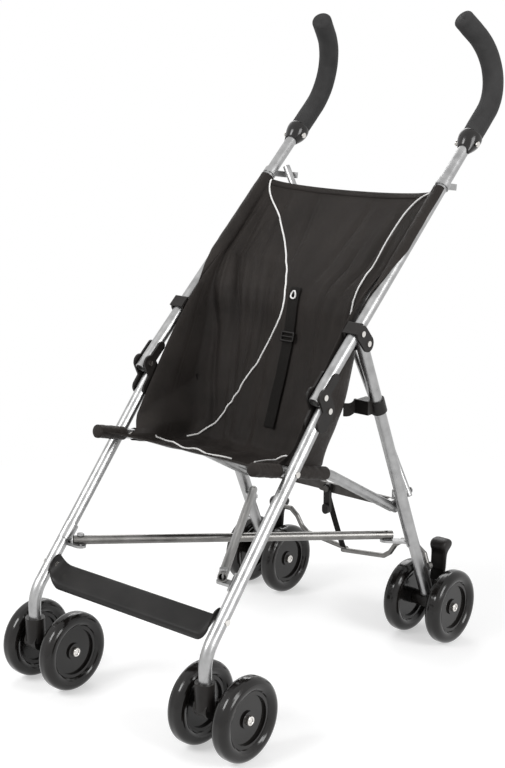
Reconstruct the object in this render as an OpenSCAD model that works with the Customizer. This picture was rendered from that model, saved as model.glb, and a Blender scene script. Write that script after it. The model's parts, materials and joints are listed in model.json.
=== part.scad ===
// Umbrella stroller: two side frames that slide together, crossed braces, a toggle lock,
// twin castors in front, twin fixed wheels behind and a hammock seat.
// Lengths are in millimetres. The front faces -Y and the wheels stand on z = 0.

/* [Side frames] */
// Distance between the centre planes of the two side frames
frame_w = 350; // [320:1:400]
// Outer diameter of the leg and handle tubes
tube_d = 19; // [16:0.5:22]
// Wall of every tube
tube_wall = 1.5; // [1:0.1:2]
// Lean of the handle tube from the vertical, in degrees
handle_lean = 48.3; // [44:0.1:52]
// Lower end of the handle tube behind the front axle
handle_y = 203; // [195:1:211]
// Height of the lower end of the handle tube
handle_z = 466; // [456:1:476]
// Lean of the straight front leg from the vertical, in degrees
front_lean = 41.1; // [39:0.1:43]
// Radius of the bend at the foot of the front leg
front_bend_r = 60; // [45:1:75]
// Height at which the front leg's straight line meets its upright foot
front_corner_z = 155; // [148:1:160]
// Length of the front leg above that corner
front_leg_len = 407; // [395:1:415]
// Lean of the rear leg from the vertical, in degrees
rear_lean = 23.4; // [20:0.1:26]

/* [Handles] */
// Distance along the handle tube from its lower end to the grip
grip_start = 538; // [500:1:560]
// Straight part of the grip below its bend
grip_straight = 58; // [40:1:70]
// Radius of the grip's bend
grip_bend_r = 84; // [75:1:110]
// Angle of the grip's bend, in degrees
grip_bend = 96; // [70:1:105]
// Straight part of the grip above its bend
grip_tail = 40; // [20:1:50]
// Turn of the bend towards the middle, in degrees
grip_turn_in = 15; // [0:1:25]
// Outer diameter of the foam grip
grip_d = 34; // [28:0.5:38]
// Outer diameter of the collar under the grip
collar_d = 38; // [32:0.5:42]
// Length of the collar
collar_len = 26; // [16:1:34]

/* [Wheels] */
// Wheel diameter
wheel_d = 123; // [115:1:130]
// Wheel width over the tyre
wheel_w = 28; // [24:0.5:32]
// Distance between the middle planes of two twin wheels
twin_pitch = 82; // [78:0.5:90]
// Axle diameter
axle_d = 8; // [6:0.5:10]
// Distance of the castor's axle behind its swivel axis
castor_trail = 36.5; // [30:0.5:42]

/* [Lower braces] */
// Outer diameter of a lower brace tube
lower_brace_d = 14; // [12:0.5:16]
// Distance of a lower brace's front pin inside the side frame's centre plane
lower_pin_x = 30; // [28:1:37]
// Distance of a lower brace's rear end inside the side frame's centre plane
lower_end_x = 33; // [29:1:37]
// Height of the lower braces at the front pins
lower_front_z = 237; // [230:1:245]
// Height of the lower braces at the rear joints
lower_rear_z = 200; // [194:1:206]

/* [Rear braces] */
// Outer diameter of a rear brace tube
rear_brace_d = 12; // [10:0.5:13]
// Distance of a rear brace's lower pin inside the side frame's centre plane
rear_pin_x = 15; // [11:1:21]
// Distance of a rear brace's upper end inside the side frame's centre plane
rear_end_x = 25; // [21:1:31]
// Length of the rear X along its plane
rear_brace_rise = 498; // [480:1:505]
// Lean of the rear X from the vertical, in degrees
rear_brace_lean = 8.6; // [6:0.1:10]

/* [Toggle lock] */
// Distance of a toggle bar's pin inside the side frame's centre plane
toggle_pin_x = 27; // [23:1:31]
// Height of the toggle bars
toggle_z = 244; // [240:1:248]
// Height of a toggle bar's section
toggle_h = 16; // [14:0.5:18]
// Thickness of a toggle bar
toggle_t = 5; // [4:0.25:5.5]

/* [Spreader rods] */
// Diameter of a spreader rod
rod_d = 8.5; // [7:0.25:9]
// Height of the rods' middle pivot
rod_mid_z = 111; // [86:1:116]
// Height of the rods' outer pins
rod_pin_z = 124; // [116:1:130]
// Height of the rods' arch over the inner wheels
rod_arch_z = 158; // [152:1:166]

/* [Seat] */
// Distance along the handle tube from its lower end to the seat's top edge
seat_top_d = 424; // [405:1:440]
// Distance along the handle tube from its lower end to the sleeve's end
sleeve_end_d = 264; // [250:1:280]
// Diameter of the seat rails
rail_d = 16; // [14:0.5:18]
// Rail's tip behind the front axle
rail_tip_y = 88; // [80:1:96]
// Height of the rail's tip
rail_tip_z = 389; // [384:1:396]
// Rail's bend behind the front axle
rail_bend_y = 262; // [250:1:275]
// Height of the rail's bend
rail_bend_z = 342; // [334:1:350]
// Thickness of the seat cloth
cloth_t = 3; // [2:0.25:4]
// Sag of the seat's back at the sleeves' ends
sleeve_sag = 20; // [12:1:28]
// Sag of the seat's top edge
top_sag = 16; // [8:1:24]
// Sag of the seat's base
base_sag = 14; // [8:1:20]
// Distance of the seat's lower back corner behind the rail's bend
foot_back = 36; // [26:1:44]
// Distance of that corner below the rail's bend
foot_drop = 7; // [2:1:12]
// Hollow of the seat's front edge between the rails
front_hollow = 37; // [25:1:50]
// Depth of the seat's hanging folds
fold_depth = 4; // [2:0.5:6]

/* [Footrest] */
// Depth of the footrest strip
footrest_w = 40; // [32:1:70]
// Thickness of the footrest strip
footrest_t = 3; // [2:0.25:4]
// Slope of the footrest, front edge down, in degrees
footrest_slope = 25; // [15:1:32]
// Height of the footrest's ears above the strip
footrest_ear_h = 26; // [20:1:32]

/* [Hidden] */
$fn = 48;
cut = 1;
running_fit = 0.08;
seat_fit = 0.1;
body_gap = 0.4;
soft_gap = 0.5;
bend_step = 0.05;
end_steps = 14;

side_x = frame_w / 2;
lower_pin_at = side_x - lower_pin_x;
lower_end_at = side_x - lower_end_x;
rear_pin_at = side_x - rear_pin_x;
rear_end_at = side_x - rear_end_x;
toggle_pin_at = side_x - toggle_pin_x;
tube_r = tube_d / 2;
bore_r = tube_r - tube_wall;
wheel_r = wheel_d / 2;
axle_r = axle_d / 2;
brace_r = lower_brace_d / 2;
back_r = rear_brace_d / 2;
rail_r = rail_d / 2;
grip_r = grip_d / 2;
collar_r = collar_d / 2;

// Places in the side plane are [y, z], with y counted from the front axle.
function along(p, lean, d) = [p[0] + d * sin(lean), p[1] + d * cos(lean)];
function handle_at(d) = along([handle_y, handle_z], handle_lean, d);
function front_at(d) = along([stem_y, front_corner_z], front_lean, d);
function rear_at(d) = along(rear_pivot, 180 - rear_lean, d);
function mix(a, b, t) = a + (b - a) * t;
function at_height(z) = (rear_pivot[1] - z) / cos(rear_lean);

stem_y = -castor_trail;
pivot_d = 132;
pivot_drop = 23;
pivot_rivet = handle_at(pivot_d);
rear_pivot = along(pivot_rivet, handle_lean + 90, pivot_drop);
leg_end_over_axle = 17;
rear_leg_len = at_height(wheel_r + leg_end_over_axle);
rear_foot = rear_at(rear_leg_len);
rear_leg_top = 12;
rear_axle_back = 9.5;
rear_axle_y = rear_foot[0] + rear_axle_back;

// The part stands with the middle of its box over the origin.
grip_far_turn = atan2(sin(handle_lean), cos(handle_lean) * cos(grip_turn_in));
grip_far_y = handle_at(grip_start + grip_straight + grip_bend_r * sin(grip_far_turn))[0]
    - grip_bend_r * (1 - cos(grip_far_turn)) * cos(handle_lean) * cos(grip_turn_in) + grip_r;
shift_y = -(grip_far_y - wheel_r) / 2;

// Rivets
rivet_r = 2.5;
head_r = 4.5;
head_h = 2;
rivet_hole_r = rivet_r + seat_fit;

// Handle, grip and collar
grip_cap = 5;
grip_cap_in = 4;
collar_rivet = handle_at(grip_start - collar_len / 2);
channel_rivet_d = 12;
channel_rivet = handle_at(channel_rivet_d);

// Pivot bracket and lock channel
cheek_t = 3.5;
cheek_in = tube_r + seat_fit;
cheek_out = cheek_in + cheek_t;
web_r = 1.6;
bracket_r = cheek_in + 2 * web_r;
channel_lip_d = 48;
channel_lip_r = 7;
channel_foot = 36;
channel_step = 0.8;
leg_rivet_in = 13;
leg_rivet = front_at(front_leg_len - leg_rivet_in);
web_reach = 9;

// Front leg and castor
stem_over_axle = 24;
stem_end_z = wheel_r + stem_over_axle;
elbow_reach = front_bend_r * tan(front_lean / 2);
castor_sleeve_r = 15;
castor_sleeve_h = 38;
castor_floor = 6;
castor_arm_r = 13;
castor_arm_x = 12;
boss_out_r = 12;
twin_x = twin_pitch / 2;
boss_x = twin_x - wheel_w / 2 - body_gap;
tyre_r = 11;
disc_t = 8;
rim_in_r = 36;
rim_w = 8;
rim_t = 16;
wheel_hub_r = 13;
hub_out = 7;
axle_head_r = 7;
axle_head_h = 3;
axle_end = twin_x + hub_out + body_gap + axle_head_h;

// Seat rail
rail_gap = 1;
rail_x = side_x - tube_r - rail_gap - rail_r;
rail_in_x = rail_x - rail_r;
rail_slope = atan2(rail_tip_z - rail_bend_z, rail_bend_y - rail_tip_y);
function rail_line_z(y) = rail_tip_z - (y - rail_tip_y) * tan(rail_slope);
// Distance up the front leg at which the rail's straight front crosses it
rail_rivet_d = (rail_line_z(stem_y) - front_corner_z)
    / (cos(front_lean) + tan(rail_slope) * sin(front_lean));
rail_rivet = front_at(rail_rivet_d);

// Rear joint
joint_z = 240;
joint_at = rear_at(at_height(joint_z));
joint_wall = 2.5;
joint_r = tube_r + joint_wall;
joint_low = 70;
joint_up = 36;
ear_t = 8;
rail_end_up = 6;
rail_end = [joint_at[0] - joint_r - rail_gap, joint_z + rail_end_up];
plug_len = 14;
rail_rear_slope = atan2(rail_bend_z - rail_end[1], rail_end[0] - rail_bend_y);
rail_turn = rail_rear_slope - rail_slope;
rail_bend_r = 120;
rail_bend_reach = rail_bend_r * tan(rail_turn / 2);

// Lower X: its plane runs from the front brackets back to the rear joints.
bracket_d = (lower_front_z - front_corner_z) / cos(front_lean);
lower_front = front_at(bracket_d);
lower_rear_in = 4;
lower_rear = [joint_at[0] - lower_rear_in, lower_rear_z];
tongue_reach = 29;
lower_drop = atan2(lower_front_z - lower_rear_z, lower_rear[0] - lower_front[0]);
lower_run = norm(lower_rear - lower_front);
lower_gap = 1.2;
lower_lift = brace_r + lower_gap / 2;
lower_len = norm([lower_pin_at + lower_end_at, lower_run]);
lower_turn = atan2(lower_pin_at + lower_end_at, lower_run);
lower_tail = 11;
clamp_wall = 3;
clamp_r = tube_r + clamp_wall;
clamp_h = 26;
clamp_open = 3;
pin_r = 3;
pin_hole_r = pin_r + running_fit;
pin_head_r = 5.5;
pin_head_h = 3;
ear_plate_t = 4;
ear_plate_r = 9;

// Toggle bars, in two layers behind the joint's ears
toggle_r = toggle_h / 2;
toggle_boss_in = 0.7;
toggle_boss_r = toggle_r - toggle_boss_in;
toggle_back = 8;
toggle_front_y = joint_at[0] + toggle_back;
toggle_gap = 0.8;
lever_x = 16;
lever_t = 7;
lever_len = 38;
lever_r = 6;
lever_pad = 4;

// Rear X: its plane leans back behind the toggle bars.
rear_pin_z = 264;
rear_layer_y = toggle_front_y + 2 * toggle_t + 3 * toggle_gap + back_r;
layer_gap = 1.4;
rear_layer_step = rear_brace_d + layer_gap;
boss_r = 6.5;
boss_plate_r = 8;
boss_len = 13;
boss_plate_t = 13.7;
boss_plate_in = 4;
rear_joint_back = rear_at(at_height(rear_pin_z))[0] + tube_r - boss_plate_in;
rear_len = norm([rear_pin_at + rear_end_at, rear_brace_rise]);
rear_turn = atan2(rear_pin_at + rear_end_at, rear_brace_rise);
rear_tail = 10;
saddle_t = 3;
saddle_wall = 2;
saddle_side = 2.5;
saddle_h = 10;
// The saddle sits on the handle tube at the height of the rear X's upper end.
saddle_z = rear_pin_z + (rear_brace_rise - saddle_h / 2) * cos(rear_brace_lean);
saddle_d = (saddle_z - handle_z) / cos(handle_lean);
saddle_tab = 14;
saddle_reach = 22;
saddle_in_x = side_x - tube_r - saddle_side;

// Rear hub, brake pedal and spreader rods
hub_r = 12.8;
hub_floor = 6;
hub_arm_x = 12;
hub_socket = 58;
hub_grip = 2;
pedal_back = 24;
pedal_up = 22;
pedal_pivot = [rear_axle_y + pedal_back, wheel_r + pedal_up];
pedal_top_z = 160;
pedal_t = 5;
pedal_w = 26;
pedal_boss_r = 7;
pedal_curl = 5;
pedal_roll_r = 8;
pedal_rake = 4;
pedal_drop = 16;
pedal_ear_x = 5;
pedal_ear_r = 6;
pedal_slot_gap = 2;
pedal_step = 0.4;
rod_r = rod_d / 2;
rod_fn = 16;
rod_eye_r = 7;
rod_boss_len = 12;
rod_ahead = 7;
rod_layer_y = rear_axle_y - rod_ahead;
rod_layer_step = rod_d + layer_gap;
// A rod's bends over the inner wheel, as rows of [distance in from its pin, share of the arch]
rod_rows = [[0, 0], [7, 0.6], [25, 0.97], [51, 1], [65, 0.68], [76, 0.18], [89, -0.09]];
// Points of the right rod's centre line from its pin to the middle, as [x, z]
rod_points = [for (r = rod_rows) [side_x - r[0], mix(rod_pin_z, rod_arch_z, r[1])], [0, rod_mid_z]];
lift_w = 12;
lift_t = 2;
lift_foot_up = rod_r + lift_t;
lift_top_y = toggle_front_y + 2 * toggle_t + 2 * toggle_gap + lift_t;
lift_foot_y = rod_layer_y;

// Strap clip on the rear leg
clip_z = 431;
clip_d = at_height(clip_z);
clip_h = 22;
strap_w = 22;
strap_t = 2;
strap_in = 25;
strap_x = side_x - strap_in;
strap_front_y = 308;
clip_reach = 26;
clip_hook_t = 4;

// Footrest
footrest_rivet_d = 54;
footrest_rivet = front_at(footrest_rivet_d);
footrest_half = side_x - tube_r - body_gap;
footrest_lip = 8;
lip_step = 0.4;

// Seat, harness strap and slider
sleeve_t = 3;
v_sleeve = 0.36;
v_foot = 0.7;
v_smooth = 0.03;
u_step = 0.01;
u_ease = 1.5;
seat_top_in = 1.5;
seat_top_x = side_x - tube_r - seat_top_in;
seat_bracket_x = side_x - cheek_out - head_h - soft_gap - cloth_t / 2;
seat_base_x = rail_in_x - head_h - soft_gap - cloth_t / 2;
front_drop = 10;
edge_low_d = 60;
edge_leg_d = 322;
front_middle = [rail_tip_y + front_hollow, rail_tip_z - front_drop];
back_foot = [rail_bend_y + foot_back, rail_bend_z - foot_drop];
// The back's middle line above its lower corner, as rows of [v, [y, z]]
back_rows = [[0.44, [73, 254]], [0.53, [61, 184]], [0.61, [36, 104]], [0.66, [12, 48]]];
// Side edge and middle of the cloth, each as rows of [v, [y, z]]
seat_edge = [[0, handle_at(seat_top_d)], [v_sleeve, handle_at(sleeve_end_d)],
    [0.5, handle_at(edge_low_d)], [0.6, front_at(edge_leg_d)],
    [v_foot, rail_rivet], [1, [rail_tip_y, rail_tip_z]]];
seat_middle = [[0, along(handle_at(seat_top_d), handle_lean + 90, top_sag)],
    [v_sleeve, along(handle_at(sleeve_end_d), handle_lean + 90, sleeve_sag)],
    for (r = back_rows) [r[0], back_foot + r[1]], [v_foot, back_foot],
    [(v_foot + 1) / 2, mix(back_foot, front_middle, 0.5) - [0, base_sag]], [1, front_middle]];
seat_half = [[0, seat_top_x], [v_sleeve, seat_top_x], [0.42, seat_bracket_x], [0.61, seat_bracket_x],
    [0.67, seat_base_x], [1, seat_base_x]];
// How square the cloth's section is: 2 is an ellipse
corner_shares = [[0, 2], [v_sleeve, 2.2], [0.5, 4.4], [v_foot, 4.4], [1, 2.6]];
fold_waves = 3;
fold_right_share = 0.4;
seat_cols = 24;
seat_rows = 22;
harness_x = 6;
harness_w = 20;
harness_t = 1.5;
harness_gap = 0.9;
// The harness strap lies along these rows of the seat's mesh.
harness_rows = [9 : 15];
slider_v = 0.53;
slider_dv = 0.01;
slider_w = 26;
slider_t = 3;
slider_gap = 0.9;

// A shape drawn for the right side, mirrored for the left.
module on_side(s) translate([0, shift_y, 0]) mirror([s < 0 ? 1 : 0, 0, 0]) children();
module in_middle() translate([0, shift_y, 0]) children();

module rod(l, ro, ri) difference() {
    cylinder(h = l, r = ro);
    translate([0, 0, -cut]) cylinder(h = l + 2 * cut, r = ri);
}

// A tube along +Z that bends towards +Y after its first straight. The straights end inside
// the bend's wall, which is thicker by bend_step on both faces.
module bent(l1, bend_r, turn, l2, ro, ri) {
    rod(l1 + cut, ro, ri);
    translate([0, 0, l1]) {
        translate([0, bend_r, 0]) rotate([90, 0, -90]) rotate_extrude(angle = turn)
            translate([bend_r, 0]) difference() { circle(ro + bend_step); circle(ri - bend_step); }
        translate([0, bend_r * (1 - cos(turn)), bend_r * sin(turn)]) rotate([-turn, 0, 0])
            translate([0, 0, -cut]) rod(l2 + cut, ro, ri);
    }
}

// A flat plate drawn in the side plane and raised along X from x0 to x1.
module plate(x0, x1) translate([x0, 0, 0]) rotate([90, 0, 90]) linear_extrude(height = x1 - x0)
    children();
// A flat plate drawn from behind, in x and z, and raised along Y from y0 to y1.
module upright(y0, y1) translate([0, y1, 0]) rotate([90, 0, 0]) linear_extrude(height = y1 - y0)
    children();

// A flat bar with round ends from p to q
module capsule(p, q, r) {
    a = atan2(q[1] - p[1], q[0] - p[0]);
    polygon(concat(
        [for (i = [0 : end_steps]) let(t = a - 90 + 180 * i / end_steps) q + r * [cos(t), sin(t)]],
        [for (i = [0 : end_steps]) let(t = a + 90 + 180 * i / end_steps) p + r * [cos(t), sin(t)]]));
}

module x_pin(x0, x1, p, r) translate([x0, p[0], p[1]]) rotate([0, 90, 0])
    cylinder(h = x1 - x0, r = r);
module y_pin(y0, y1, p, r) translate([p[0], y1, p[1]]) rotate([90, 0, 0])
    cylinder(h = y1 - y0, r = r);

// A rivet has a shank through its stack and a head on each side.
module rivet(x0, x1, p) {
    x_pin(x0 - head_h, x1 + head_h, p, rivet_r);
    x_pin(x0 - head_h, x0 - seat_fit, p, head_r);
    x_pin(x1 + seat_fit, x1 + head_h, p, head_r);
}
module rivet_hole(p) x_pin(0, 2 * side_x, p, rivet_hole_r);

module along_handle(d) translate([side_x, handle_at(d)[0], handle_at(d)[1]])
    rotate([-handle_lean, 0, 0]) children();
module along_front(d) translate([side_x, front_at(d)[0], front_at(d)[1]])
    rotate([-front_lean, 0, 0]) children();
module along_rear(d) translate([side_x, rear_at(d)[0], rear_at(d)[1]]) rotate([rear_lean, 0, 0])
    children();
module rear_leg_bore() along_rear(rear_leg_len)
    cylinder(h = rear_leg_len + rear_leg_top, r = tube_r + seat_fit);
module handle_bore() along_handle(0) cylinder(h = grip_start, r = tube_r + seat_fit);
// All that lies outside the inner face of a tube's clamp
module outer_half() translate([side_x - clamp_open, -2 * side_x, 0])
    cube([2 * side_x, 8 * side_x, 8 * side_x]);
module lower_plane() translate([0, lower_front[0], lower_front[1]]) rotate([-lower_drop, 0, 0])
    children();
module rear_plane() translate([0, rear_layer_y, rear_pin_z]) rotate([-rear_brace_lean, 0, 0])
    children();

// Handle tube, foam grip and its collar
module grip_path(start, tail, ro, ri) along_handle(start) rotate([0, 0, 180 - grip_turn_in])
    bent(grip_start + grip_straight - start, grip_bend_r, grip_bend, tail, ro, ri);
module at_grip_end() along_handle(grip_start + grip_straight) rotate([0, 0, 180 - grip_turn_in])
    translate([0, grip_bend_r * (1 - cos(grip_bend)), grip_bend_r * sin(grip_bend)])
    rotate([-grip_bend, 0, 0]) translate([0, 0, grip_tail]) children();

module handle_tube(s) color("silver") on_side(s) difference() {
    grip_path(0, grip_tail - cut - seat_fit, tube_r, bore_r);
    rivet_hole(pivot_rivet);
    rivet_hole(channel_rivet);
    rivet_hole(collar_rivet);
}
module grip(s) color([0.07, 0.07, 0.07]) on_side(s) {
    grip_path(grip_start, grip_tail, grip_r, tube_r + 2 * seat_fit);
    at_grip_end() translate([0, 0, -cut]) cylinder(h = grip_cap + cut, r = grip_r - grip_cap_in);
}
module grip_collar(s) color([0.1, 0.1, 0.1]) on_side(s) difference() {
    along_handle(grip_start - collar_len) rod(collar_len - seat_fit, collar_r, tube_r + seat_fit);
    rivet_hole(collar_rivet);
}

// Brackets that hold the handle tube, the front leg and the rear leg together
module both_cheeks() for (x0 = [side_x - cheek_out, side_x + cheek_in]) plate(x0, x0 + cheek_t)
    children();
module across_cheeks() plate(side_x - cheek_out, side_x + cheek_out) children();

module pivot_bracket(s) color([0.1, 0.1, 0.1]) on_side(s) difference() {
    union() {
        both_cheeks() capsule(pivot_rivet, rear_pivot, bracket_r);
        across_cheeks() capsule(
            along(handle_at(pivot_d - web_reach), handle_lean - 90, cheek_in + web_r),
            along(handle_at(pivot_d + web_reach), handle_lean - 90, cheek_in + web_r), web_r);
    }
    rivet_hole(pivot_rivet);
    rivet_hole(rear_pivot);
}
module lock_channel(s) color([0.1, 0.1, 0.1]) on_side(s) difference() {
    union() {
        both_cheeks() {
            capsule(channel_rivet, handle_at(channel_lip_d), channel_lip_r);
            capsule(channel_rivet, leg_rivet, bracket_r);
            capsule(leg_rivet, front_at(front_leg_len - channel_foot), bracket_r - channel_step);
        }
        across_cheeks() capsule(
            along(front_at(front_leg_len - channel_foot), front_lean + 90, cheek_in + web_r),
            along(leg_rivet, front_lean + 90, cheek_in + web_r), web_r);
    }
    rivet_hole(channel_rivet);
    rivet_hole(leg_rivet);
}

// Front leg: an upright foot in the castor, a bend and a straight to the lock channel
module front_leg(s) color("silver") on_side(s) difference() {
    translate([side_x, stem_y, stem_end_z])
        bent(front_corner_z - elbow_reach - stem_end_z, front_bend_r, front_lean,
            front_leg_len - elbow_reach, tube_r, bore_r);
    rivet_hole(leg_rivet);
    rivet_hole(rail_rivet);
    rivet_hole(footrest_rivet);
}

// Rear leg, from the pivot bracket down into the hub
module rear_leg(s) color("silver") on_side(s) difference() {
    along_rear(rear_leg_len) rod(rear_leg_len + rear_leg_top, tube_r, bore_r);
    rivet_hole(rear_pivot);
}

// Seat rail: a bent tube inside the legs, from the rear joint to the seat's front corner
module seat_rail(s) color("silver") on_side(s) difference() {
    translate([rail_x, rail_end[0], rail_end[1]]) rotate([90 - rail_rear_slope, 0, 0])
        rotate([0, 0, 180]) bent(
            norm(rail_end - [rail_bend_y, rail_bend_z]) - rail_bend_reach, rail_bend_r, rail_turn,
            norm([rail_bend_y - rail_tip_y, rail_tip_z - rail_bend_z]) - rail_bend_reach,
            rail_r, rail_r - tube_wall);
    rivet_hole(rail_rivet);
}

// Rear joint: a clamp on the rear leg with an ear for the toggle bar, a boss for the rear
// brace, a tongue under the lower brace and a plug in the rail's end
module rear_joint(s) color([0.12, 0.12, 0.12]) on_side(s) difference() {
    brace_y = (s < 0 ? rear_layer_step : 0) - back_r - body_gap;
    tongue_z = (s < 0 ? lower_lift : -lower_lift) - brace_r - body_gap;
    bar_y = toggle_front_y + (s < 0 ? toggle_t + toggle_gap : 0);
    ear_y = toggle_front_y - toggle_gap;
    pin_end = bar_y + toggle_t + pin_head_h;
    plug_y = rail_end[0] + rail_gap + rail_r * sin(rail_rear_slope);
    union() {
        along_rear(at_height(joint_z) + joint_low) cylinder(h = joint_low + joint_up, r = joint_r);
        translate([toggle_pin_at - toggle_r, ear_y - ear_t, toggle_z - toggle_r])
            cube([side_x - toggle_pin_at, ear_t, toggle_h]);
        y_pin(ear_y - cut, bar_y - toggle_gap / 2, [toggle_pin_at, toggle_z], toggle_boss_r);
        y_pin(ear_y - cut, pin_end, [toggle_pin_at, toggle_z], pin_r);
        y_pin(bar_y + toggle_t + toggle_gap / 2, pin_end, [toggle_pin_at, toggle_z], pin_head_r);
        translate([rail_in_x, plug_y, rail_end[1] - rail_r])
            cube([side_x - rail_in_x, joint_at[0] - plug_y, rail_d]);
        translate([rail_x, rail_end[0] + joint_r, rail_end[1] - joint_r * tan(rail_rear_slope)])
            rotate([90 - rail_rear_slope, 0, 0])
            cylinder(h = joint_r / cos(rail_rear_slope) + plug_len, r = rail_r - tube_wall - seat_fit);
        rear_plane() {
            y_pin(brace_y - boss_len - (s < 0 ? rear_layer_step : 0), brace_y, [rear_pin_at, 0], boss_r);
            y_pin(brace_y - cut, brace_y + rear_brace_d + body_gap + pin_head_h, [rear_pin_at, 0], pin_r);
            y_pin(brace_y + rear_brace_d + 2 * body_gap, brace_y + rear_brace_d + body_gap + pin_head_h,
                [rear_pin_at, 0], pin_head_r);
        }
        translate([rear_pin_at - boss_plate_r, rear_joint_back, rear_pin_z - boss_plate_r])
            cube([side_x - rear_pin_at + boss_plate_r, boss_plate_t, 2 * boss_plate_r]);
        lower_plane() translate([0, 0, tongue_z - ear_plate_t]) linear_extrude(height = ear_plate_t)
            capsule([lower_end_at, lower_run], [side_x, lower_run + tongue_reach], ear_plate_r);
    }
    rear_leg_bore();
    outer_half();
}

// Bracket on the front leg with the lower brace's pin
module brace_bracket(s) color([0.12, 0.12, 0.12]) on_side(s) difference() {
    lift = s < 0 ? -lower_lift : lower_lift;
    union() {
        along_front(bracket_d - clamp_h / 2) cylinder(h = clamp_h, r = clamp_r);
        lower_plane() {
            translate([0, 0, lift - brace_r - body_gap - ear_plate_t])
                linear_extrude(height = ear_plate_t) capsule([lower_pin_at, 0], [side_x, 0], ear_plate_r);
            translate([lower_pin_at, 0, lift - brace_r - body_gap - cut])
                cylinder(h = lower_brace_d + body_gap + cut + pin_head_h, r = pin_r);
            translate([lower_pin_at, 0, lift + brace_r + body_gap]) cylinder(h = pin_head_h, r = pin_head_r);
        }
    }
    along_front(0) cylinder(h = front_leg_len, r = tube_r + seat_fit);
    outer_half();
}

// Saddle on the handle tube behind the upper end of the other side's rear brace
module brace_saddle(s) color([0.12, 0.12, 0.12]) on_side(s) difference() {
    tab_y = (s < 0 ? 0 : rear_layer_step) + back_r + body_gap;
    union() {
        along_handle(saddle_d) cylinder(h = saddle_h, r = tube_r + saddle_wall);
        rear_plane() {
            translate([rear_end_at - saddle_tab, tab_y, rear_brace_rise - saddle_h])
                cube([side_x - rear_end_at + saddle_tab, saddle_t, saddle_h]);
            translate([saddle_in_x, -saddle_reach, rear_brace_rise - saddle_h])
                cube([side_x - saddle_in_x, saddle_reach + tab_y + saddle_t, saddle_h]);
        }
    }
    handle_bore();
}

// Clip on the rear leg that the seat's side strap hooks into
module strap_clip(s) color([0.1, 0.1, 0.1]) on_side(s) difference() {
    union() {
        along_rear(clip_d + clip_h / 2) cylinder(h = clip_h, r = clamp_r);
        translate([strap_x - strap_t, rear_at(clip_d)[0] - clip_reach, clip_z - clip_h / 2])
            cube([side_x - strap_x + strap_t, clip_hook_t, clip_h]);
        translate([strap_x + strap_t + body_gap, rear_at(clip_d)[0] - clip_reach, clip_z - clip_h / 2])
            cube([side_x - strap_x - strap_t - body_gap, clip_reach, clip_h]);
    }
    rear_leg_bore();
}

module rivets(s) color("gainsboro") on_side(s) {
    for (p = [pivot_rivet, rear_pivot, channel_rivet, leg_rivet])
        rivet(side_x - cheek_out, side_x + cheek_out, p);
    rivet(rail_in_x, side_x + tube_r, rail_rivet);
    rivet(footrest_half - footrest_t, side_x + tube_r, footrest_rivet);
    rivet(side_x - collar_r, side_x + collar_r, collar_rivet);
}

// Castor: a sleeve on the front leg's foot and an arm back to the axle
module castor(s) color([0.11, 0.11, 0.11]) on_side(s) difference() {
    union() {
        translate([side_x, stem_y, stem_end_z - castor_floor])
            cylinder(h = castor_sleeve_h, r = castor_sleeve_r);
        plate(side_x - castor_arm_x, side_x + castor_arm_x)
            capsule([stem_y, stem_end_z - castor_floor], [0, wheel_r], castor_arm_r);
        x_pin(side_x - boss_x, side_x + boss_x, [0, wheel_r], boss_out_r);
    }
    translate([side_x, stem_y, stem_end_z - body_gap])
        cylinder(h = castor_sleeve_h, r = tube_r + running_fit);
    x_pin(0, 2 * side_x, [0, wheel_r], axle_r + seat_fit);
}

module axle(y) {
    x_pin(side_x - axle_end, side_x + axle_end, [y, wheel_r], axle_r);
    for (x0 = [side_x - axle_end, side_x + axle_end - axle_head_h])
        x_pin(x0, x0 + axle_head_h, [y, wheel_r], axle_head_r);
}
module front_axle(s) color("silver") on_side(s) axle(0);
module rear_axle(s) color("silver") on_side(s) axle(rear_axle_y);

// A wheel has a round tyre, a dished disc and a hub with a bore.
module wheel_half() difference() {
    union() {
        capsule([wheel_r - tyre_r, tyre_r - wheel_w / 2], [wheel_r - tyre_r, wheel_w / 2 - tyre_r], tyre_r);
        translate([0, -disc_t / 2]) square([wheel_r - tyre_r, disc_t]);
        translate([0, -wheel_w / 2]) square([wheel_hub_r, wheel_w / 2 + hub_out]);
        translate([rim_in_r, -rim_t / 2]) square([rim_w, rim_t]);
    }
    translate([-cut, -wheel_w]) square([cut + axle_r + running_fit, 2 * wheel_w]);
}
module wheel(y, out) translate([side_x + out * twin_x, y, wheel_r]) rotate([0, out * 90, 0])
    rotate_extrude() wheel_half();
module front_wheel(s, out) color([0.08, 0.08, 0.09]) on_side(s) wheel(0, out);
module rear_wheel(s, out) color([0.08, 0.08, 0.09]) on_side(s) wheel(rear_axle_y, out);

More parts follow.
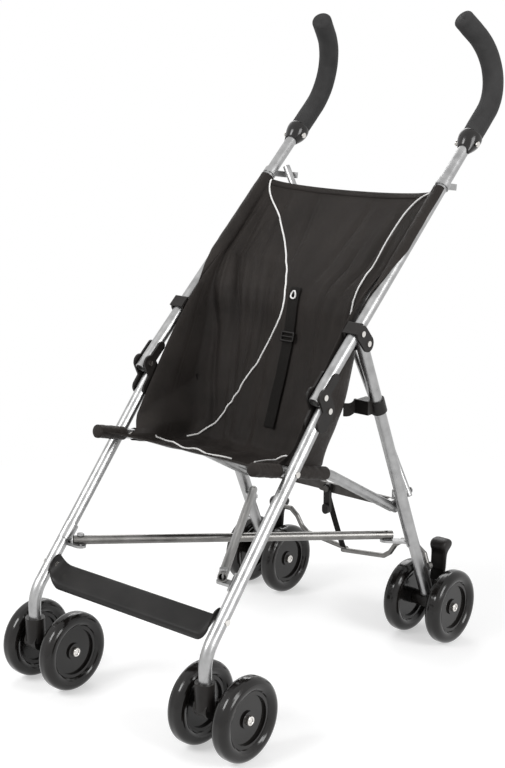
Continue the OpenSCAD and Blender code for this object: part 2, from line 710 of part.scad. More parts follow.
// Rear hub: a saddle behind the rear leg's foot, the axle's boss, the pedal's ear and the rod's pin
module rear_hub(s) color([0.11, 0.11, 0.11]) on_side(s) difference() {
    rod_y = rod_layer_y + (s < 0 ? rod_layer_step : 0);
    union() {
        along_rear(rear_leg_len + hub_floor) cylinder(h = hub_socket + hub_floor, r = hub_r);
        plate(side_x - hub_arm_x, side_x + hub_arm_x)
            capsule(rear_at(rear_leg_len + hub_floor), [rear_axle_y, wheel_r], castor_arm_r);
        x_pin(side_x - boss_x, side_x + boss_x, [rear_axle_y, wheel_r], boss_out_r);
        plate(side_x - pedal_ear_x, side_x + pedal_ear_x)
            capsule([rear_axle_y, wheel_r], pedal_pivot, pedal_ear_r);
        x_pin(side_x - pedal_w / 2, side_x + pedal_w / 2, pedal_pivot, pin_r);
        y_pin(rod_y - rod_r - body_gap - rod_boss_len - (s < 0 ? rod_layer_step : 0),
            rod_y - rod_r - body_gap, [side_x, rod_pin_z], rod_eye_r);
        y_pin(rod_layer_y - rod_r - rod_boss_len, rod_y + rod_r + body_gap + pin_head_h,
            [side_x, rod_pin_z], pin_r);
        y_pin(rod_y + rod_r + body_gap, rod_y + rod_r + body_gap + pin_head_h,
            [side_x, rod_pin_z], pin_head_r);
    }
    along_rear(rear_leg_len) {
        cylinder(h = rear_leg_len, r = tube_r + seat_fit);
        translate([-2 * hub_r, -2 * hub_r, 0]) cube([4 * hub_r, 2 * hub_r - hub_grip, hub_socket + cut]);
    }
    x_pin(0, 2 * side_x, [rear_axle_y, wheel_r], axle_r + seat_fit);
}

// Brake pedal: a forked lever with a rolled top
module brake_pedal(s) color([0.12, 0.12, 0.12]) on_side(s) difference() {
    top = [pedal_pivot[0] + pedal_rake, pedal_top_z];
    foot = pedal_pivot + [pedal_rake, -pedal_drop];
    plate(side_x - pedal_w / 2, side_x + pedal_w / 2) {
        translate(pedal_pivot) circle(pedal_boss_r);
        capsule(pedal_pivot, top - [0, pedal_roll_r], pedal_t / 2);
        capsule(top - [0, pedal_roll_r], top + [pedal_curl, -pedal_roll_r], pedal_roll_r);
        capsule(pedal_pivot, foot, pedal_t / 2 - pedal_step);
    }
    plate(side_x - pedal_ear_x - body_gap, side_x + pedal_ear_x + body_gap)
        capsule(pedal_pivot, foot, pedal_ear_r + pedal_slot_gap);
    x_pin(0, 2 * side_x, pedal_pivot, pin_hole_r);
}

// Lower brace, pinned to the front bracket and running back to the other side
module lower_brace(s) color("silver") on_side(s) lower_plane() {
    out = s < 0 ? -1 : 1;
    translate([lower_pin_at, 0, out * lower_lift]) rotate([0, 0, lower_turn]) {
        difference() {
            translate([0, -lower_tail, 0]) rotate([-90, 0, 0])
                rod(lower_len + 2 * lower_tail, brace_r, brace_r - tube_wall);
            translate([0, 0, -lower_brace_d]) cylinder(h = 2 * lower_brace_d, r = pin_hole_r);
            translate([0, lower_len, -lower_brace_d]) cylinder(h = 2 * lower_brace_d, r = pin_hole_r);
        }
    }
}

// Rear brace, pinned to the rear joint and running up to the other handle tube
module rear_brace(s) color("silver") on_side(s) rear_plane()
    translate([rear_pin_at, s < 0 ? rear_layer_step : 0, 0]) rotate([0, -rear_turn, 0]) difference() {
        translate([0, 0, -rear_tail]) rod(rear_len + 2 * rear_tail, back_r, back_r - tube_wall);
        translate([0, rear_brace_d, 0]) rotate([90, 0, 0])
            cylinder(h = 2 * rear_brace_d, r = pin_hole_r);
    }

// Toggle bars: the right one lies in front and carries the lock lever's pin.
module toggle(s) color([0.45, 0.45, 0.47]) on_side(s) difference() {
    y0 = toggle_front_y + (s < 0 ? toggle_t + toggle_gap : 0);
    union() {
        upright(y0, y0 + toggle_t) capsule([0, toggle_z], [toggle_pin_at, toggle_z], toggle_r);
        if (s > 0) {
            y_pin(y0 - body_gap - lever_t - body_gap - pin_head_h, y0 + cut, [lever_x, toggle_z], pin_r);
            y_pin(y0 - body_gap - lever_t - body_gap - pin_head_h, y0 - body_gap - lever_t - body_gap,
                [lever_x, toggle_z], pin_head_r);
        }
    }
    y_pin(y0 - cut, y0 + toggle_t + cut, [toggle_pin_at, toggle_z], pin_hole_r);
}
module lock_lever() color([0.12, 0.12, 0.12]) in_middle() difference() {
    y1 = toggle_front_y - body_gap;
    union() {
        upright(y1 - lever_t, y1) {
            capsule([lever_x, toggle_z], [lever_x, toggle_z - lever_len], lever_r);
            translate([lever_x, toggle_z]) circle(toggle_r);
        }
        upright(y1 - lever_t - lever_pad, y1 - lever_t + cut)
            capsule([lever_x, toggle_z - lever_len + lever_r], [lever_x, toggle_z - lever_len], lever_r);
    }
    y_pin(y1 - lever_t - cut, y1 + cut, [lever_x, toggle_z], pin_hole_r);
}

// Spreader rod: from its pin on the hub over the inner wheel to the middle
module rod_piece(p, q) hull() for (e = [p, q]) translate([e[0], 0, e[1]]) sphere(rod_r, $fn = rod_fn);
module spreader(s) color("silver") on_side(s)
    translate([0, rod_layer_y + (s < 0 ? rod_layer_step : 0), 0]) difference() {
        union() {
            for (i = [0 : len(rod_points) - 2]) rod_piece(rod_points[i], rod_points[i + 1]);
            upright(-rod_r, rod_r) translate([side_x, rod_pin_z]) circle(rod_eye_r);
        }
        y_pin(-rod_d, rod_d, [side_x, rod_pin_z], pin_hole_r);
    }

module lift_strap() color([0.1, 0.1, 0.1]) in_middle() plate(-lift_w / 2, lift_w / 2)
    capsule([lift_top_y, toggle_z - toggle_r], [lift_foot_y, rod_mid_z + lift_foot_up], lift_t / 2);

// Footrest: a sloping strip riveted to both front legs by its ears
module footrest() color([0.1, 0.1, 0.1]) in_middle() difference() {
    mid = footrest_rivet - [0, footrest_ear_h / 2];
    rear = along(mid, 90 - footrest_slope, footrest_w / 2);
    front = along(mid, -90 - footrest_slope, footrest_w / 2);
    union() {
        plate(-footrest_half, footrest_half) {
            capsule(rear, front, footrest_t / 2);
            capsule(front, front - [0, footrest_lip], footrest_t / 2 + lip_step);
        }
        for (x0 = [-footrest_half, footrest_half - footrest_t]) plate(x0, x0 + footrest_t) {
            capsule(mid, footrest_rivet, footrest_ear_h / 2 - footrest_t);
        }
    }
    x_pin(-side_x, side_x, footrest_rivet, rivet_hole_r);
}

// Seat: a cloth bucket that hangs from the handle sleeves, the legs and the rails.
// v runs from the top edge to the front edge, u from the left side to the right.
// Each row goes from a point of the side edge back to a point of the middle and returns.
function table_at(rows, v) = [lookup(v, [for (r = rows) [r[0], r[1][0]]]),
    lookup(v, [for (r = rows) [r[0], r[1][1]]])];
function eased(rows, v) = (table_at(rows, max(v - v_smooth, 0)) + 2 * table_at(rows, v)
    + table_at(rows, min(v + v_smooth, 1))) / 4;
function across(u, v) = let(n = lookup(v, corner_shares), a = 90 * pow(abs(u), u_ease))
    [sign(u) * pow(sin(a), 2 / n), pow(cos(a), 2 / n)];
function u_of(x, v) = let(n = lookup(v, corner_shares), w = pow(abs(x) / lookup(v, seat_half), n / 2))
    sign(x) * pow(asin(w) / 90, 1 / u_ease);
function seat_mid(u, v) = let(e = eased(seat_edge, v), c = eased(seat_middle, v), w = across(u, v),
    p = mix(e, c, w[1])) [w[0] * lookup(v, seat_half), p[0], p[1]];
function seat_normal(u, v) = let(
    du = seat_mid(min(u + u_step, 1), v) - seat_mid(max(u - u_step, -1), v),
    dv = seat_mid(u, min(v + u_step, 1)) - seat_mid(u, max(v - u_step, 0)), n = cross(du, dv)) n / norm(n);
function fold(u, v) = fold_depth * (1 - pow(u, 4)) * sin(180 * v)
    * (u < 0 ? sin(360 * fold_waves * u) : fold_right_share * sin(360 * fold_waves * u / 2));
function seat_at(u, v, off) = seat_mid(u, v) + seat_normal(u, v) * (fold(u, v) + off);

// A sheet over rows of u and v with two faces, closed round its border
module cloth(us, vs, off, t, by_x = false) {
    nu = len(us);
    nv = len(vs);
    n = nu * nv;
    function at(i, j) = i * nu + j;
    function point(u, v, o) = seat_at(by_x ? u_of(u, v) : u, v, o);
    polyhedron(
        points = concat([for (v = vs, u = us) point(u, v, off - t / 2)],
            [for (v = vs, u = us) point(u, v, off + t / 2)]),
        faces = concat(
            [for (i = [0 : nv - 2], j = [0 : nu - 2]) [at(i, j), at(i, j + 1), at(i + 1, j + 1)]],
            [for (i = [0 : nv - 2], j = [0 : nu - 2]) [at(i, j), at(i + 1, j + 1), at(i + 1, j)]],
            [for (i = [0 : nv - 2], j = [0 : nu - 2]) [n + at(i, j), n + at(i + 1, j + 1), n + at(i, j + 1)]],
            [for (i = [0 : nv - 2], j = [0 : nu - 2]) [n + at(i, j), n + at(i + 1, j), n + at(i + 1, j + 1)]],
            [for (j = [0 : nu - 2]) [at(0, j), n + at(0, j), n + at(0, j + 1)]],
            [for (j = [0 : nu - 2]) [at(0, j), n + at(0, j + 1), at(0, j + 1)]],
            [for (j = [0 : nu - 2]) [at(nv - 1, j), n + at(nv - 1, j + 1), n + at(nv - 1, j)]],
            [for (j = [0 : nu - 2]) [at(nv - 1, j), at(nv - 1, j + 1), n + at(nv - 1, j + 1)]],
            [for (i = [0 : nv - 2]) [at(i, 0), n + at(i + 1, 0), n + at(i, 0)]],
            [for (i = [0 : nv - 2]) [at(i, 0), at(i + 1, 0), n + at(i + 1, 0)]],
            [for (i = [0 : nv - 2]) [at(i, nu - 1), n + at(i, nu - 1), n + at(i + 1, nu - 1)]],
            [for (i = [0 : nv - 2]) [at(i, nu - 1), n + at(i + 1, nu - 1), at(i + 1, nu - 1)]]));
}
module seat() color([0.06, 0.06, 0.06]) in_middle() {
    cloth([for (j = [0 : seat_cols]) 2 * j / seat_cols - 1], [for (i = [0 : seat_rows]) i / seat_rows],
        0, cloth_t);
    for (m = [0, 1]) mirror([m, 0, 0]) along_handle(sleeve_end_d)
        rod(seat_top_d - sleeve_end_d, tube_r + sleeve_t, tube_r + body_gap);
}
module harness_strap() color([0.1, 0.1, 0.1]) in_middle() cloth(
    [for (j = [-1 : 1]) harness_x + j * harness_w / 2], [for (i = harness_rows) i / seat_rows],
    -(cloth_t + harness_t) / 2 - harness_gap, harness_t, true);
// The slider is bowed to the strap that it rides on.
module strap_slider() color([0.12, 0.12, 0.12]) in_middle() cloth(
    [for (x = [-slider_w, -harness_w, 0, harness_w, slider_w]) harness_x + x / 2],
    [for (j = [-1 : 1]) slider_v + j * slider_dv],
    -(cloth_t + slider_t) / 2 - harness_gap - harness_t - slider_gap, slider_t, true);
module side_strap(s) color([0.1, 0.1, 0.1]) on_side(s)
    translate([strap_x - strap_t / 2, strap_front_y, clip_z - strap_w / 2])
    cube([strap_t, rear_at(clip_d)[0] - clip_reach - soft_gap - strap_front_y, strap_w]);

handle_tube(-1);  // handle_tube_left
handle_tube(1);  // handle_tube_right
grip(-1);  // grip_left
grip(1);  // grip_right
grip_collar(-1);  // grip_collar_left
grip_collar(1);  // grip_collar_right
pivot_bracket(-1);  // pivot_bracket_left
pivot_bracket(1);  // pivot_bracket_right
lock_channel(-1);  // lock_channel_left
lock_channel(1);  // lock_channel_right
front_leg(-1);  // front_leg_left
front_leg(1);  // front_leg_right
rear_leg(-1);  // rear_leg_left
rear_leg(1);  // rear_leg_right
seat_rail(-1);  // seat_rail_left
seat_rail(1);  // seat_rail_right
rear_joint(-1);  // rear_joint_left
rear_joint(1);  // rear_joint_right
brace_bracket(-1);  // brace_bracket_left
brace_bracket(1);  // brace_bracket_right
brace_saddle(-1);  // brace_saddle_left
brace_saddle(1);  // brace_saddle_right
strap_clip(-1);  // strap_clip_left
strap_clip(1);  // strap_clip_right
rivets(-1);  // rivets_left
rivets(1);  // rivets_right
castor(-1);  // castor_left
castor(1);  // castor_right
front_axle(-1);  // front_axle_left
front_axle(1);  // front_axle_right
front_wheel(-1, 1);  // front_wheel_left_outer
front_wheel(-1, -1);  // front_wheel_left_inner
front_wheel(1, 1);  // front_wheel_right_outer
front_wheel(1, -1);  // front_wheel_right_inner
rear_hub(-1);  // rear_hub_left
rear_hub(1);  // rear_hub_right
rear_axle(-1);  // rear_axle_left
rear_axle(1);  // rear_axle_right
rear_wheel(-1, 1);  // rear_wheel_left_outer
rear_wheel(-1, -1);  // rear_wheel_left_inner
rear_wheel(1, 1);  // rear_wheel_right_outer
rear_wheel(1, -1);  // rear_wheel_right_inner
brake_pedal(-1);  // brake_pedal_left
brake_pedal(1);  // brake_pedal_right
lower_brace(-1);  // lower_brace_left
lower_brace(1);  // lower_brace_right
rear_brace(-1);  // rear_brace_left
rear_brace(1);  // rear_brace_right
toggle(-1);  // toggle_left
toggle(1);  // toggle_right
lock_lever();
spreader(-1);  // spreader_left
spreader(1);  // spreader_right
lift_strap();
footrest();
seat();
side_strap(-1);  // side_strap_left
side_strap(1);  // side_strap_right
harness_strap();
strap_slider();
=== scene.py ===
import json
import math

import bmesh
import bpy
from mathutils import Matrix, Vector, noise


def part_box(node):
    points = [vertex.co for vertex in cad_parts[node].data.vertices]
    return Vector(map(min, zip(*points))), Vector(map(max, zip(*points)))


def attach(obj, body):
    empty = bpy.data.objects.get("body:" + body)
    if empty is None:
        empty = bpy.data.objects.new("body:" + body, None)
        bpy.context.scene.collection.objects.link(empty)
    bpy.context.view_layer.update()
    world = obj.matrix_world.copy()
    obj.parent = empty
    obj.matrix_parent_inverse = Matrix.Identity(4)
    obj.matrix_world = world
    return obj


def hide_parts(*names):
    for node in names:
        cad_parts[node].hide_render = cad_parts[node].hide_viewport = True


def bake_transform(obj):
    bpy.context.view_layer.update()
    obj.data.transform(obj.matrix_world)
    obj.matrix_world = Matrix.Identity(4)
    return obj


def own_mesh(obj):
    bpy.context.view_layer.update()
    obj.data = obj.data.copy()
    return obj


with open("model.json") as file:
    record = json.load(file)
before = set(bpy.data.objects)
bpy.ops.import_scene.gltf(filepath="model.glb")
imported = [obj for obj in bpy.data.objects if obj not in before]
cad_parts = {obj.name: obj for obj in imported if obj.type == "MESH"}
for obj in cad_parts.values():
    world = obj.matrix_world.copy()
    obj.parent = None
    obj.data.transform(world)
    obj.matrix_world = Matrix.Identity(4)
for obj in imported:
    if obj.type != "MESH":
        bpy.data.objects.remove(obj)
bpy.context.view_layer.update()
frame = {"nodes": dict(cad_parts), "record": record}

MM = 0.001
nodes = frame["nodes"]
low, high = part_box("front_wheel_right_outer")
SHIFT = (low.y + high.y) / 2 / MM  # the front axle's y in mm; side-plane points count y from it
SIDES = (("left", -1), ("right", 1))


# Materials
# Where a ramp over noise starts and ends: for colour, for roughness and for cloth's colour
TONE_SPREAD, WEAR_SPREAD, YARN_SPREAD = (0.3, 0.7), (0.25, 0.75), (0.32, 0.68)
# Noise scales, in cycles per metre, and the yarns' waver
METAL_GRAIN, METAL_BROAD, PLASTIC_BROAD = 900.0, 60.0, 35.0
CLOTH_BROAD, CLOTH_SLUB, YARN_WAVER = 14.0, 160.0, 0.4
FOAM_CELLS, FOAM_BROAD = 900.0, 40.0


def tree_of(name):
    mat = bpy.data.materials.new(name)
    mat.use_nodes = True
    tree = mat.node_tree
    return mat, tree, tree.nodes["Principled BSDF"]


def node(tree, kind, **values):
    made = tree.nodes.new(kind)
    for key, value in values.items():
        if key in made.inputs:
            made.inputs[key].default_value = value
        else:
            setattr(made, key, value)
    return made


def coords(tree):
    return node(tree, "ShaderNodeTexCoord").outputs["Object"]


def noise_of(tree, vector, scale, detail):
    made = node(tree, "ShaderNodeTexNoise", Scale=scale, Detail=detail)
    tree.links.new(vector, made.inputs["Vector"])
    return made.outputs["Fac"]


def wave_of(tree, vector, scale, direction):
    made = node(tree, "ShaderNodeTexWave", Scale=scale, Distortion=YARN_WAVER)
    made.wave_type = "BANDS"
    made.bands_direction = direction
    tree.links.new(vector, made.inputs["Vector"])
    return made.outputs["Fac"]


def ramp_of(tree, value, stops):
    """A ramp between two stops, each a position and a colour."""
    made = node(tree, "ShaderNodeValToRGB")
    for element, (position, colour) in zip(made.color_ramp.elements, stops):
        element.position = position
        element.color = (*colour, 1)
    tree.links.new(value, made.inputs["Fac"])
    return made.outputs["Color"]


def grey(value):
    return (value, value, value)


def ramped(tree, value, spread, ends, socket):
    """Carry a value to a socket through a ramp between two colours, or two greys for plain numbers."""
    colours = [end if isinstance(end, tuple) else grey(end) for end in ends]
    stops = list(zip(spread, colours))
    tree.links.new(ramp_of(tree, value, stops), socket)


def join_values(tree, a, b, operation="ADD"):
    made = node(tree, "ShaderNodeMath", operation=operation)
    tree.links.new(a, made.inputs[0])
    if isinstance(b, float):
        made.inputs[1].default_value = b
    else:
        tree.links.new(b, made.inputs[1])
    return made.outputs[0]


def bump(tree, shader, height, strength, distance):
    made = node(tree, "ShaderNodeBump", Strength=strength, Distance=distance)
    tree.links.new(height, made.inputs["Height"])
    tree.links.new(made.outputs["Normal"], shader.inputs["Normal"])


def metal(name, colours, rough, metallic=1.0):
    mat, tree, shader = tree_of(name)
    where = coords(tree)
    fine = noise_of(tree, where, METAL_GRAIN, 2.0)
    broad = noise_of(tree, where, METAL_BROAD, 4.0)
    ramped(tree, broad, TONE_SPREAD, colours, shader.inputs["Base Color"])
    ramped(tree, broad, WEAR_SPREAD, rough, shader.inputs["Roughness"])
    shader.inputs["Metallic"].default_value = metallic
    bump(tree, shader, fine, 0.08, 0.0002)
    return mat


def plastic(name, colours, rough, grain=1400.0, depth=0.12, coat=0.0):
    mat, tree, shader = tree_of(name)
    where = coords(tree)
    fine = noise_of(tree, where, grain, 3.0)
    broad = noise_of(tree, where, PLASTIC_BROAD, 4.0)
    ramped(tree, broad, TONE_SPREAD, colours, shader.inputs["Base Color"])
    ramped(tree, broad, WEAR_SPREAD, rough, shader.inputs["Roughness"])
    shader.inputs["Specular IOR Level"].default_value = 0.22
    shader.inputs["Coat Weight"].default_value = coat
    shader.inputs["Coat Roughness"].default_value = 0.12
    bump(tree, shader, fine, depth, 0.0003)
    return mat


def weave(name, colours, rough, pitch, sheen=0.25, depth=0.35, tint=(0.5, 0.47, 0.45)):
    mat, tree, shader = tree_of(name)
    where = coords(tree)
    scale = 1 / (pitch * 2)
    warp = wave_of(tree, where, scale, "X")
    weft = wave_of(tree, where, scale, "Z")
    crossed = join_values(tree, warp, weft, "MULTIPLY")
    broad = noise_of(tree, where, CLOTH_BROAD, 5.0)
    slub = noise_of(tree, where, CLOTH_SLUB, 3.0)
    tone = join_values(tree, join_values(tree, broad, 0.7, "MULTIPLY"),
                       join_values(tree, slub, 0.3, "MULTIPLY"))
    ramped(tree, tone, YARN_SPREAD, colours, shader.inputs["Base Color"])
    ramped(tree, slub, TONE_SPREAD, rough, shader.inputs["Roughness"])
    shader.inputs["Specular IOR Level"].default_value = 0.12
    shader.inputs["Sheen Weight"].default_value = sheen
    shader.inputs["Sheen Roughness"].default_value = 0.45
    shader.inputs["Sheen Tint"].default_value = (*tint, 1)
    height = join_values(tree, crossed, join_values(tree, slub, 0.5, "MULTIPLY"))
    bump(tree, shader, height, depth, 0.0004)
    return mat


def foam(name):
    mat, tree, shader = tree_of(name)
    where = coords(tree)
    cells = node(tree, "ShaderNodeTexVoronoi", Scale=FOAM_CELLS)
    tree.links.new(where, cells.inputs["Vector"])
    broad = noise_of(tree, where, FOAM_BROAD, 4.0)
    ramped(tree, broad, TONE_SPREAD, ((0.026, 0.0255, 0.0255), (0.042, 0.0415, 0.0415)),
           shader.inputs["Base Color"])
    ramped(tree, broad, TONE_SPREAD, (0.72, 0.9), shader.inputs["Roughness"])
    shader.inputs["Specular IOR Level"].default_value = 0.15
    shader.inputs["Sheen Weight"].default_value = 0.05
    shader.inputs["Sheen Roughness"].default_value = 0.6
    bump(tree, shader, cells.outputs["Distance"], 0.3, 0.0004)
    return mat


TUBE = metal("satin_tube", ((0.33, 0.33, 0.33), (0.43, 0.43, 0.43)), (0.26, 0.40), metallic=0.95)
ROD = metal("plated_rod", ((0.15, 0.146, 0.14), (0.22, 0.215, 0.207)), (0.28, 0.42))
BAR = metal("painted_bar", ((0.060, 0.056, 0.052), (0.10, 0.095, 0.090)), (0.3, 0.45), metallic=0.7)
RIVET = metal("rivet_steel", ((0.66, 0.64, 0.61), (0.78, 0.76, 0.73)), (0.14, 0.28))
BLACK = plastic("moulded_black", ((0.009, 0.008, 0.0074), (0.016, 0.0142, 0.0132)), (0.32, 0.48))
GLOSS = plastic("collar_black", ((0.009, 0.0082, 0.008), (0.016, 0.0148, 0.0142)), (0.16, 0.26),
                depth=0.04, coat=0.3)
WHEEL = plastic("wheel_black", ((0.0055, 0.0048, 0.0044), (0.011, 0.0097, 0.009)), (0.12, 0.22),
                depth=0.03, coat=0.3)
STEP = plastic("footrest_black", ((0.009, 0.0085, 0.0082), (0.016, 0.015, 0.0145)), (0.36, 0.52),
               grain=700.0, depth=0.2)
CLOTH = weave("seat_nylon", ((0.014, 0.0118, 0.0106), (0.028, 0.0238, 0.0215)), (0.42, 0.62),
              0.0005, 0.06)
WEB = weave("webbing_black", ((0.0065, 0.0058, 0.0053), (0.014, 0.0125, 0.0115)), (0.6, 0.8),
            0.0011, 0.05, 0.7)
PIPING = weave("piping_white", ((0.86, 0.85, 0.83), (0.95, 0.94, 0.93)), (0.6, 0.75),
               0.0006, 0.1, 0.4, (1, 1, 1))
THREAD = weave("thread_black", ((0.012, 0.011, 0.0105), (0.026, 0.024, 0.023)), (0.55, 0.7),
               0.0003, 0.05, 0.4)
FOAM = foam("grip_foam")

SLOT_MATERIAL = {"tube": TUBE, "rod": ROD, "bar": BAR, "rivet": RIVET, "black_plastic": BLACK,
                 "trim_plastic": GLOSS, "wheel": WHEEL, "footrest": STEP, "cloth": CLOTH,
                 "webbing": WEB, "foam": FOAM}
DULL = ("lower_brace_left", "lower_brace_right")  # braces with the darker plating of the rods
for row in frame["record"]["subparts"]:
    made = nodes[row["node"]]
    made.data.materials.clear()
    made.data.materials.append(ROD if row["node"] in DULL else SLOT_MATERIAL[row["material_slot"]])


# Shared shapes
def at(x, y, z):
    """A point in mm, with y from the front axle, as a place in the row frame."""
    return Vector((x * MM, (y + SHIFT) * MM, z * MM))


def shade_smooth(mesh):
    for polygon in mesh.polygons:
        polygon.use_smooth = True


def piece(name, verts, faces, mat):
    mesh = bpy.data.meshes.new(name)
    mesh.from_pydata([tuple(v) for v in verts], [], faces)
    mesh.update()
    shade_smooth(mesh)
    made = bpy.data.objects.new(name, mesh)
    bpy.context.scene.collection.objects.link(made)
    mesh.materials.append(mat)
    return made


def thickened(thick):
    return "SOLIDIFY", {"thickness": thick * MM, "offset": 0.0}


def bevelled(wide):
    return "BEVEL", {"width": wide * MM, "segments": 2, "limit_method": "ANGLE"}


def applied(made, *modifiers):
    """Give a piece the mesh that its modifiers, each a kind and its values, make of it."""
    for kind, values in modifiers:
        mod = made.modifiers.new(kind, kind)
        for key, value in values.items():
            setattr(mod, key, value)
    bpy.context.view_layer.update()
    graph = bpy.context.evaluated_depsgraph_get()
    mesh = bpy.data.meshes.new_from_object(made.evaluated_get(graph))
    made.modifiers.clear()
    made.data = mesh
    return made


def area_of(made):
    return sum(polygon.area for polygon in made.data.polygons)


def grid_faces(rows, cols, close=False):
    """Quads over rows of points, with the last column joined to the first where close is set."""
    wide = cols if close else cols - 1
    return [(i * cols + j, i * cols + (j + 1) % cols,
             (i + 1) * cols + (j + 1) % cols, (i + 1) * cols + j)
            for i in range(rows - 1) for j in range(wide)]


def end_faces(rows, cols):
    """The two faces that close a tube of rings."""
    return [tuple(range(cols - 1, -1, -1)), tuple((rows - 1) * cols + k for k in range(cols))]


def tube_along(name, path, radii, mat, sides):
    """A tube along points with a radius at each, its section carried along without twist."""
    verts, count = [], len(path)
    side = None
    for i, p in enumerate(path):
        along = (path[min(i + 1, count - 1)] - path[max(i - 1, 0)]).normalized()
        if side is None:
            side = along.orthogonal().normalized()
        side = (side - along * side.dot(along)).normalized()
        other = along.cross(side)
        for k in range(sides):
            a = 2 * math.pi * k / sides
            verts.append(p + (side * math.cos(a) + other * math.sin(a)) * radii[i])
    faces = grid_faces(count, sides, True) + end_faces(count, sides)
    return piece(name, verts, faces, mat)


def lerp_table(table, t):
    """The value at t in a table of (t, value) rows, straight between the rows."""
    for (t0, a), (t1, b) in zip(table, table[1:]):
        if t <= t1:
            share = 0 if t1 == t0 else max(0, (t - t0) / (t1 - t0))
            return a + (b - a) * share
    return table[-1][1]


# Seat surface
SIDE_X, RAIL_X = 175, 156.5  # the planes of the side frames and of the seat rails
HANDLE_START, HANDLE_LEAN = (203, 466), 48.3
FRONT_START, FRONT_LEAN = (-36.5, 155), 41.1
SEAT_TOP, SLEEVE_ROW, SLEEVE_FOOT = 424, 264, 166  # distances up the handle tube


def along(p, lean, d):
    """The side-plane point a distance d from p, with the lean in degrees from upright."""
    a = math.radians(lean)
    return Vector((p[0] + d * math.sin(a), p[1] + d * math.cos(a)))


def handle_at(d):
    return along(HANDLE_START, HANDLE_LEAN, d)


def front_at(d):
    return along(FRONT_START, FRONT_LEAN, d)


RAIL_TIP, RAIL_BEND = Vector((88, 389)), Vector((262, 342))
RAIL_RIVET = Vector((152.446, 371.592))
FOOT, LIP = RAIL_BEND + Vector((36, -7)), RAIL_TIP + Vector((37, -10))
# Below the sleeves the cloth's free edge bows forward of the tubes by this much.
EDGE_BOW = along((0, 0), HANDLE_LEAN - 90, 16)
BACKWARD = HANDLE_LEAN + 90
# Rows down the cloth, v from 0 at its top to 1 at its front: its side edge, its middle line (both in
# the side plane) and half its width
EDGE = [(0, handle_at(SEAT_TOP)), (0.36, handle_at(SLEEVE_ROW)), (0.41, handle_at(191) + EDGE_BOW),
        (0.45, handle_at(133) + 0.7 * EDGE_BOW), (0.5, handle_at(60)), (0.6, front_at(322)),
        (0.7, RAIL_RIVET), (1, RAIL_TIP)]
MIDDLE = [(0, along(handle_at(SEAT_TOP), BACKWARD, 16)),
          (0.36, along(handle_at(SLEEVE_ROW), BACKWARD, 20)),
          (0.44, FOOT + Vector((73, 254))), (0.53, FOOT + Vector((61, 184))),
          (0.61, FOOT + Vector((36, 104))), (0.66, FOOT + Vector((12, 48))), (0.7, FOOT),
          (0.85, (FOOT + LIP) / 2 - Vector((0, 14))), (1, LIP)]
HALF = [(0, 164), (0.36, 164), (0.42, 157.9), (0.61, 157.9), (0.67, 144.5), (1, 144.5)]
# How square the cloth's section is: 2 is an ellipse
CORNER = [(0, 2), (0.36, 2.2), (0.44, 4.6), (0.5, 6.6), (0.7, 6.6), (1, 3)]
SMOOTH = 0.03  # how far along v the rows are eased into each other


def eased(table, v):
    return (lerp_table(table, max(v - SMOOTH, 0)) + 2 * lerp_table(table, v)
            + lerp_table(table, min(v + SMOOTH, 1))) / 4


def plain_seat(u, v):
    """A place on the cloth without its folds; u runs from -1 at the left edge to 1 at the right."""
    n = lerp_table(CORNER, v)
    a = math.pi / 2 * abs(u) ** (n / 2)
    out = math.copysign(math.sin(a) ** (2 / n), u)
    back = max(math.cos(a), 0) ** (2 / n)
    edge, middle = eased(EDGE, v), eased(MIDDLE, v)
    p = edge + (middle - edge) * back
    return at(out * lerp_table(HALF, v), p.x, p.y)


def seat_normal(u, v):
    """The direction out of the seat's back."""
    h = 0.01
    du = plain_seat(min(u + h, 1), v) - plain_seat(max(u - h, -1), v)
    dv = plain_seat(u, min(v + h, 1)) - plain_seat(u, max(v - h, 0))
    return du.cross(dv).normalized()


def u_of(x, v):
    """The u of a place x mm right of the middle."""
    n = lerp_table(CORNER, v)
    w = (abs(x) / lerp_table(HALF, v)) ** (n / 2)
    return math.copysign((math.asin(w) / (math.pi / 2)) ** (2 / n), x)


CREASE_ROW = 0.4  # the row at which a fold's middle line is stated


def crease(u, v, centre, lean, wide, top, foot):
    """One soft fold down the cloth: its middle line, its width and the rows it runs between."""
    line = centre + lean * (v - CREASE_ROW)
    if not top < v < foot:
        return 0
    fade = math.sin(math.pi * (v - top) / (foot - top)) ** 0.7
    return fade * math.exp(-((u - line) / wide) ** 2)


# Each fold's middle line, lean, width, first and last row, and depth in mm
CREASES = [(-0.90, 0.10, 0.030, 0.05, 0.66, 3.4), (-0.79, -0.05, 0.026, 0.12, 0.62, -3.6),
           (-0.66, 0.22, 0.034, 0.02, 0.60, 4.2), (-0.55, 0.10, 0.024, 0.20, 0.68, -3.4),
           (-0.42, 0.26, 0.030, 0.04, 0.52, 3.0), (-0.30, 0.05, 0.022, 0.26, 0.66, 2.2),
           (-0.14, 0.30, 0.026, 0.02, 0.40, 2.4), (0.14, -0.22, 0.028, 0.03, 0.42, 2.4),
           (0.31, -0.05, 0.024, 0.22, 0.64, 2.4), (0.47, -0.20, 0.034, 0.04, 0.56, 3.2),
           (0.62, 0.06, 0.026, 0.16, 0.66, -3.0), (0.76, -0.12, 0.030, 0.05, 0.60, 3.4),
           (0.89, -0.06, 0.028, 0.08, 0.66, -3.0), (-0.90, 0.84, 0.026, 0.36, 0.70, 4.6),
           (-0.65, 0.68, 0.024, 0.34, 0.70, 4.0), (-0.39, -0.15, 0.024, 0.42, 0.68, 3.0)]


# How deep, in mm, each kind of unevenness is
BROAD_DEPTH, BROAD_SHARE, CREASE_GAIN = 4, 0.8, 1.6
DRAWN_DEPTH, SLACK_DEPTH, CRUMPLE_DEPTH = 1.1, 1.8, 3.0
CRUMPLE_ROW, CRUMPLE_SPAN = 0.66, 0.08  # where back and base meet, and how far the crumples spread


